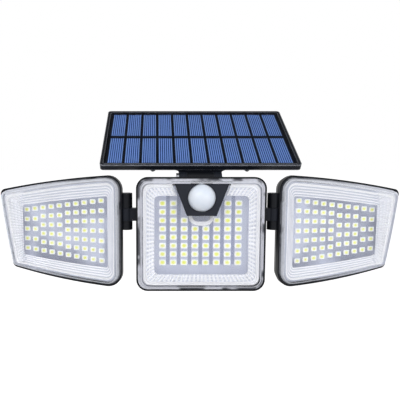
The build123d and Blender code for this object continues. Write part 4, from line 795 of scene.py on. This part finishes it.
def side_cover_stations():
    rim = [         # inset, depth, corner share, reach over the shell at the outer end, material
        (5.2, 0.0, 0.55, 0, CLEAR), (4.4, 0.12, 0.62, 0, EDGE), (3.9, 0.5, 0.68, 0, EDGE),
        (3.6, 1.1, 0.7, 0, EDGE), (2.6, 4.1, 0.8, 0.9, EDGE), (2.5, 4.4, 0.8, 2.1, EDGE),
        (2.5, 4.85, 0.8, 2.1, EDGE), (2.4, 4.9, 0.81, 0.3, EDGE), (2.1, 5.5, 0.84, 0, EDGE),
        (1.7, 5.5, 0.88, 0, EDGE), (1.45, 5.75, 0.9, 0, EDGE), (1.45, 7.5, 0.9, 0, EDGE),
        (4.0, 7.5, 0.66, 0, EDGE), (4.2, 7.0, 0.64, 0, RIBBED), (5.4, 2.6, 0.52, 0, RIBBED),
        (5.8, 2.2, 0.5, 0, RIBBED),
    ]
    stations = []
    for inset, depth, share, reach, material in rim:
        low0, low1, top1, top0 = drawn_in(SIDE_CORNERS, inset)
        corners = [low0, (low1[0] + reach, low1[1]), (top1[0] + reach, top1[1]), top0]
        stations.append((corners, [r * share for r in SIDE_RADII], depth, 0, material))
    edge = drawn_in(SIDE_CORNERS, 6.6)
    bands = [       # share of the way to the window, depth, rib rise, material
        (0.0, 2.2, 0, RIBBED), (0.04, 3.0, 0, RIBBED), (0.18, 3.0, 0.45, RIBBED), (0.22, 2.5, 0.35, RIBBED),
        (0.38, 3.0, 0.45, RIBBED), (0.42, 2.5, 0.35, RIBBED), (0.58, 3.0, 0.5, RIBBED),
        (0.62, 2.5, 0.35, RIBBED), (0.78, 3.0, 0.5, RIBBED), (0.82, 2.5, 0.4, RIBBED),
        (0.97, 3.0, 0.5, RIBBED), (1.0, 2.0, 0, CLEAR),
    ]
    for share, depth, rise, material in bands:
        radii = [r * (0.5 - 0.36 * share) for r in SIDE_RADII]
        stations.append((between(edge, SIDE_WINDOW, share), radii, depth, rise, material))
    return stations


def bow_sides(bm):
    """Bows the long sides and the outer end outwards, most in their middle."""
    (x0, low0), (x1, low1), (x2, top1), (_, top0) = SIDE_CORNERS
    for vert in bm.verts:
        along = (vert.co.x - x0) / ((x1 + x2) / 2 - x0)
        low = low0 + (low1 - low0) * along
        top = top0 + (top1 - top0) * along
        up = (vert.co.z - low) / (top - low)
        arch = 4 * along * (1 - along)
        vert.co.z += arch * (SIDE_BOWS["top"] * up - SIDE_BOWS["bottom"] * (1 - up))
        vert.co.x += SIDE_BOWS["outer"] * along * 4 * up * (1 - up)


def make_side_cover(side_name):
    body = ring_shape(side_cover_stations(), (52, 40), SIDE_RADIAL_RIBS_FROM)
    bow_sides(body)
    body = joined(body, [screw_post(x, z, *SIDE_POST_DEPTHS) for x, z in SIDE_POSTS])
    return make_cover(side_name + "_clear_cover", body, side_frame(SIDES[side_name]), side_name + "_head",
                      (side_ribs, side_edge), side_name + "_lens_cover")


# ---------------------------------------------------------------- leds
def add_led(bm, x, z, size, depth, tone):
    """White package with a raised rim, a phosphor well and solder pads at both ends."""
    uv = bm.loops.layers.uv.get("UVMap") or bm.loops.layers.uv.new("UVMap")
    tones = bm.verts.layers.float.get("led_tone") or bm.verts.layers.float.new("led_tone")
    place = Matrix.Translation((x, depth + LED_DEPTH / 2, z))
    place = place @ Matrix.Diagonal((size[0], LED_DEPTH, size[1], 1))
    verts = bmesh.ops.create_cube(bm, size=1.0, matrix=place)["verts"]
    faces = {f for v in verts for f in v.link_faces}
    for face in faces:
        face.material_index = 0
    front = min(faces, key=lambda f: f.calc_center_median().y)
    bmesh.ops.inset_region(bm, faces=[front], thickness=LED_RIM, use_even_offset=True)
    bmesh.ops.inset_region(bm, faces=[front], thickness=LED_WELL, depth=-LED_WELL, use_even_offset=True)
    front.material_index = 1
    for loop in front.loops:
        loop[uv].uv = ((loop.vert.co.x - x) / size[0] + 0.5, (loop.vert.co.z - z) / size[1] + 0.5)
    for vert in front.verts:
        vert[tones] = tone
    for end in (-1, 1):
        pad = Matrix.Translation((x + end * (size[0] / 2 + LED_PAD_PLACE[0]), depth + LED_PAD_PLACE[1], z))
        pad = pad @ Matrix.Diagonal((LED_PAD[0], LED_PAD[1], size[1] * LED_PAD[2], 1))
        pads = bmesh.ops.create_cube(bm, size=1.0, matrix=pad)["verts"]
        for face in {f for v in pads for f in v.link_faces}:
            face.material_index = 2 if face.calc_center_median().y > depth + LED_PAD_SOLDER else 0


def tone_of(i):
    """Steady spread of brightness from led to led, 0 to 1."""
    return (math.sin(i * 12.9898) * 43758.5453) % 1.0


def make_main_leds():
    bm = bmesh.new()
    count = 0
    for row in range(8):
        z = MAIN_LED_MIDDLE_Z + (3.5 - row) * MAIN_LED_PITCH[1]
        kept = SENSOR_ROWS.get(row, 8)
        for column in range(8):
            if not kept <= column < 8 - kept:
                x = (column - 3.5) * MAIN_LED_PITCH[0]
                add_led(bm, x, z, MAIN_LED_SIZE, MAIN_LED_DEPTH, tone_of(count) * 0.8)
                count += 1
    return make_piece("main_led_packages", bm, MAIN_FRAME, "wall_lamp",
                      [led_body, led_phosphor, led_solder], ["main_leds"])


def make_side_leds(side_name):
    bm = bmesh.new()
    count = 0
    for column, number in enumerate(SIDE_LED_COUNTS):
        x = SIDE_LED_FIRST_X + column * SIDE_LED_PITCH
        span = SIDE_LED_SPANS[0] + (SIDE_LED_SPANS[1] - SIDE_LED_SPANS[0]) * column / 9
        for row in range(number):
            z = SIDE_LED_MIDDLE_Z + span * (0.5 - row / (number - 1))
            add_led(bm, x, z, SIDE_LED_SIZE, SIDE_LED_DEPTH, 0.45 + tone_of(count + 7) * 0.55)
            count += 1
    return make_piece(side_name + "_led_packages", bm, side_frame(SIDES[side_name]), side_name + "_head",
                      [led_body, led_phosphor, led_solder], [side_name + "_leds"])


# ---------------------------------------------------------------- sensor dome
def make_dome():
    """Half ball with moulded facets, on a round flange."""
    bm = bmesh.new()
    turn = Matrix.Rotation(math.pi / 2, 4, "X")
    centre = Matrix.Translation((0, DOME_CENTRE_DEPTH, SENSOR_Z))
    bmesh.ops.create_uvsphere(bm, u_segments=28, v_segments=16, radius=DOME_RADIUS, matrix=centre @ turn)
    behind = [v for v in bm.verts if v.co.y > DOME_CENTRE_DEPTH + 0.01]
    bmesh.ops.delete(bm, geom=behind, context="VERTS")
    facets = [f for f in bm.faces if len(f.verts) == 4]
    bmesh.ops.inset_individual(bm, faces=facets, thickness=0.16, depth=0.05, use_even_offset=True)
    bmesh.ops.recalc_face_normals(bm, faces=bm.faces)
    rim = [e for e in bm.edges if e.is_boundary]
    back = bmesh.ops.extrude_edge_only(bm, edges=rim)["geom"]
    ring = [v for v in back if isinstance(v, bmesh.types.BMVert)]
    bmesh.ops.translate(bm, vec=(0, DOME_FLANGE_DEPTH - DOME_CENTRE_DEPTH, 0), verts=ring)
    outer, inner = DOME_FLANGE
    for reach, step in ((outer, 0.0), (outer, 1.0), (inner, 1.0), (inner, 0.4)):
        rim = [e for e in back if isinstance(e, bmesh.types.BMEdge)]
        back = bmesh.ops.extrude_edge_only(bm, edges=rim)["geom"]
        for vert in (v for v in back if isinstance(v, bmesh.types.BMVert)):
            away = Vector((vert.co.x, 0, vert.co.z - SENSOR_Z)).normalized() * reach
            vert.co = Vector((away.x, DOME_FLANGE_DEPTH + step, SENSOR_Z + away.z))
    rim = [e for e in back if isinstance(e, bmesh.types.BMEdge)]
    bmesh.ops.edgeloop_fill(bm, edges=rim)
    return make_piece("faceted_dome", bm, MAIN_FRAME, "wall_lamp", [milky_dome],
                      ["sensor_dome"])


# ---------------------------------------------------------------- panel window
def make_panel_window():
    """Flat clear sheet with rounded corners and a small chamfer, 0.1 mm above the cells."""
    bm = bmesh.new()
    low, high = WINDOW_LEVELS
    shape = Matrix.Translation((0, PANEL_MIDDLE, (low + high) / 2))
    shape = shape @ Matrix.Diagonal((WINDOW_SIZE[0], WINDOW_SIZE[1], high - low, 1))
    bmesh.ops.create_cube(bm, size=1.0, matrix=shape)
    upright = [e for e in bm.edges if abs(e.verts[0].co.z - e.verts[1].co.z) > 0.1]
    bmesh.ops.bevel(bm, geom=upright, offset=1.0, segments=4, profile=0.5, affect="EDGES", material=-1)
    top = [e for e in bm.edges if all(v.co.z > high - 0.01 for v in e.verts)]
    bmesh.ops.bevel(bm, geom=top, offset=0.25, segments=2, profile=0.5, affect="EDGES", material=-1)
    place = Matrix.Translation(PANEL_HINGE) @ Matrix.Rotation(math.radians(PANEL_TILT), 4, "X")
    piece = make_piece("panel_clear_sheet", bm, place, "solar_panel", [panel_glass],
                       ["panel_window"])
    piece.visible_shadow = False
    return piece


# ---------------------------------------------------------------- make the pieces
make_main_cover()
make_main_leds()
make_dome()
make_panel_window()
for side_name in SIDES:
    make_side_cover(side_name)
    make_side_leds(side_name)

FINISHES = {
    black_plastic: ["wall_plate", "battery_housing", "main_rear_shell", "left_rear_shell", "right_rear_shell",
                    "panel_rear_cover"],
    hinge_plastic: ["panel_bracket", "left_neck", "right_neck", "lamp_cable_gland", "panel_cable_gland"],
    frame_plastic: ["panel_frame"],
    bezel_plastic: ["sensor_bezel"],
    inner_plastic: ["battery_holder"],
    white_nylon: ["sensor_spacers"],
    green_board: ["control_board"],
    chip_plastic: ["board_components", "mode_switch"],
    backing_laminate: ["panel_backing"],
    seal_rubber: ["housing_gasket", "main_gasket", "left_gasket", "right_gasket"],
    button_rubber: ["mode_button"],
    sleeve_film: ["battery_cell"],
    panel_glass: ["panel_window"],
    clear_cover: ["main_lens_cover", "left_lens_cover", "right_lens_cover"],
    zinc_screw: ["plate_lock_screws", "housing_screws", "board_screws", "main_lens_screws", "panel_screws",
                 "bracket_screws", "panel_hinge_bolt", "panel_hinge_nut", "left_lens_screws",
                 "right_lens_screws", "left_hinge_screw", "right_hinge_screw", "left_hinge_nut",
                 "right_hinge_nut", "left_neck_retainer", "right_neck_retainer"],
    nickel_strip: ["battery_contacts"],
    sensor_can: ["pir_sensor"],
    solar_silicon: ["panel_cells"],
    milky_dome: ["sensor_dome"],
    main_board_coat: ["main_led_board"],
    side_board_coat: ["left_led_board", "right_led_board", "sensor_board"],
    led_body: ["main_leds", "left_leds", "right_leds"],
}
for material, names in FINISHES.items():
    for name in names:
        nodes[name].data.materials.clear()
        nodes[name].data.materials.append(material)


# ---------------------------------------------------------------- stage, light, camera
WORLD_LIGHT = 0.58                  # what the pieces get; white is 1 where seen directly
FLOOR_GLOW = 0.55
CEILING_DIM = 0.92
LAMPS = (       # name, place, aim, size, watts
    ("key", (-0.7, -1.1, 0.9), (0, -0.08, 0), (0.9, 0.9), 7.5),
    ("fill", (0.9, -1.0, 0.5), (0, -0.08, 0), (0.8, 0.8), 4.2),
    ("top", (0.0, -0.9, 1.2), (0, -0.05, 0.05), (1.0, 0.6), 2.5),
)
CAMERA_PLACE = (-0.0416, -0.505, 0.0700)    # fitted to the photo, as are the next three
CAMERA_DIP = 5.36
CAMERA_LENS = 38.7
CAMERA_SHIFT = 0.1086


def soft_lamp(name, place, aim, size, watts):
    lamp = bpy.data.lights.new(name, "AREA")
    lamp.shape = "RECTANGLE"
    lamp.size, lamp.size_y = size
    lamp.energy = watts
    holder = add_object(name, lamp)
    holder.location = place
    holder.rotation_euler = (Vector(aim) - Vector(place)).to_track_quat("-Z", "Y").to_euler()


def seen_directly(t):
    """1 for rays that come straight, by mirror or through glass from the camera."""
    rays = t.add("ShaderNodeLightPath").outputs
    seen = t.maths("MAXIMUM", rays["Is Camera Ray"], rays["Is Transmission Ray"])
    return t.maths("MAXIMUM", seen, rays["Is Glossy Ray"])


def make_floor():
    bm = bmesh.new()
    bmesh.ops.create_grid(bm, x_segments=1, y_segments=1, size=30.0)
    bmesh.ops.translate(bm, vec=(0, 0, -0.75), verts=bm.verts)
    mesh = bpy.data.meshes.new("floor")
    bm.to_mesh(mesh)
    bm.free()
    material, t, shader = new_material("floor_paper", Roughness=0.9, Specular_IOR_Level=0.0)
    place = t.place()
    fibre = t.noise(place, 8.0, 3.0)
    t.put(shader.inputs["Base Color"], t.blend(fibre, rgba(243, 243, 243), rgba(248, 248, 248)))
    shader.inputs["Emission Color"].default_value = (1.0, 1.0, 1.0, 1.0)
    t.put(shader.inputs["Emission Strength"], t.times(seen_directly(t), FLOOR_GLOW))
    mesh.materials.append(material)
    add_object("floor", mesh)


def make_world():
    """Plain white studio, with a dark ceiling for what mirrors it."""
    world = bpy.data.worlds.new("studio")
    bpy.context.scene.world = world
    world.use_nodes = True
    t = Tree(world.node_tree)
    background = next(n for n in t.nodes if n.type == "BACKGROUND")
    rays = t.add("ShaderNodeLightPath").outputs
    up = t.split(t.add("ShaderNodeTexCoord").outputs["Generated"])[2]
    ceiling = t.times(t.smooth(up, 0.55, 0.8), rays["Is Glossy Ray"])
    light = t.plus(WORLD_LIGHT, t.times(seen_directly(t), 1.0 - WORLD_LIGHT))
    t.put(background.inputs["Color"], (1.0, 1.0, 1.0, 1.0))
    left = t.maths("SUBTRACT", 1.0, t.times(ceiling, CEILING_DIM))
    t.put(background.inputs["Strength"], t.times(light, left))


def make_camera():
    data = bpy.data.cameras.new("camera")
    data.sensor_width = 36.0
    data.lens = CAMERA_LENS
    data.shift_x = CAMERA_SHIFT
    camera = add_object("camera", data)
    camera.location = CAMERA_PLACE
    camera.rotation_euler = (math.radians(90 - CAMERA_DIP), 0, 0)
    bpy.context.scene.camera = camera


make_floor()
make_world()
for lamp in LAMPS:
    soft_lamp(*lamp)
make_camera()

bpy.context.scene.view_settings.view_transform = "Standard"
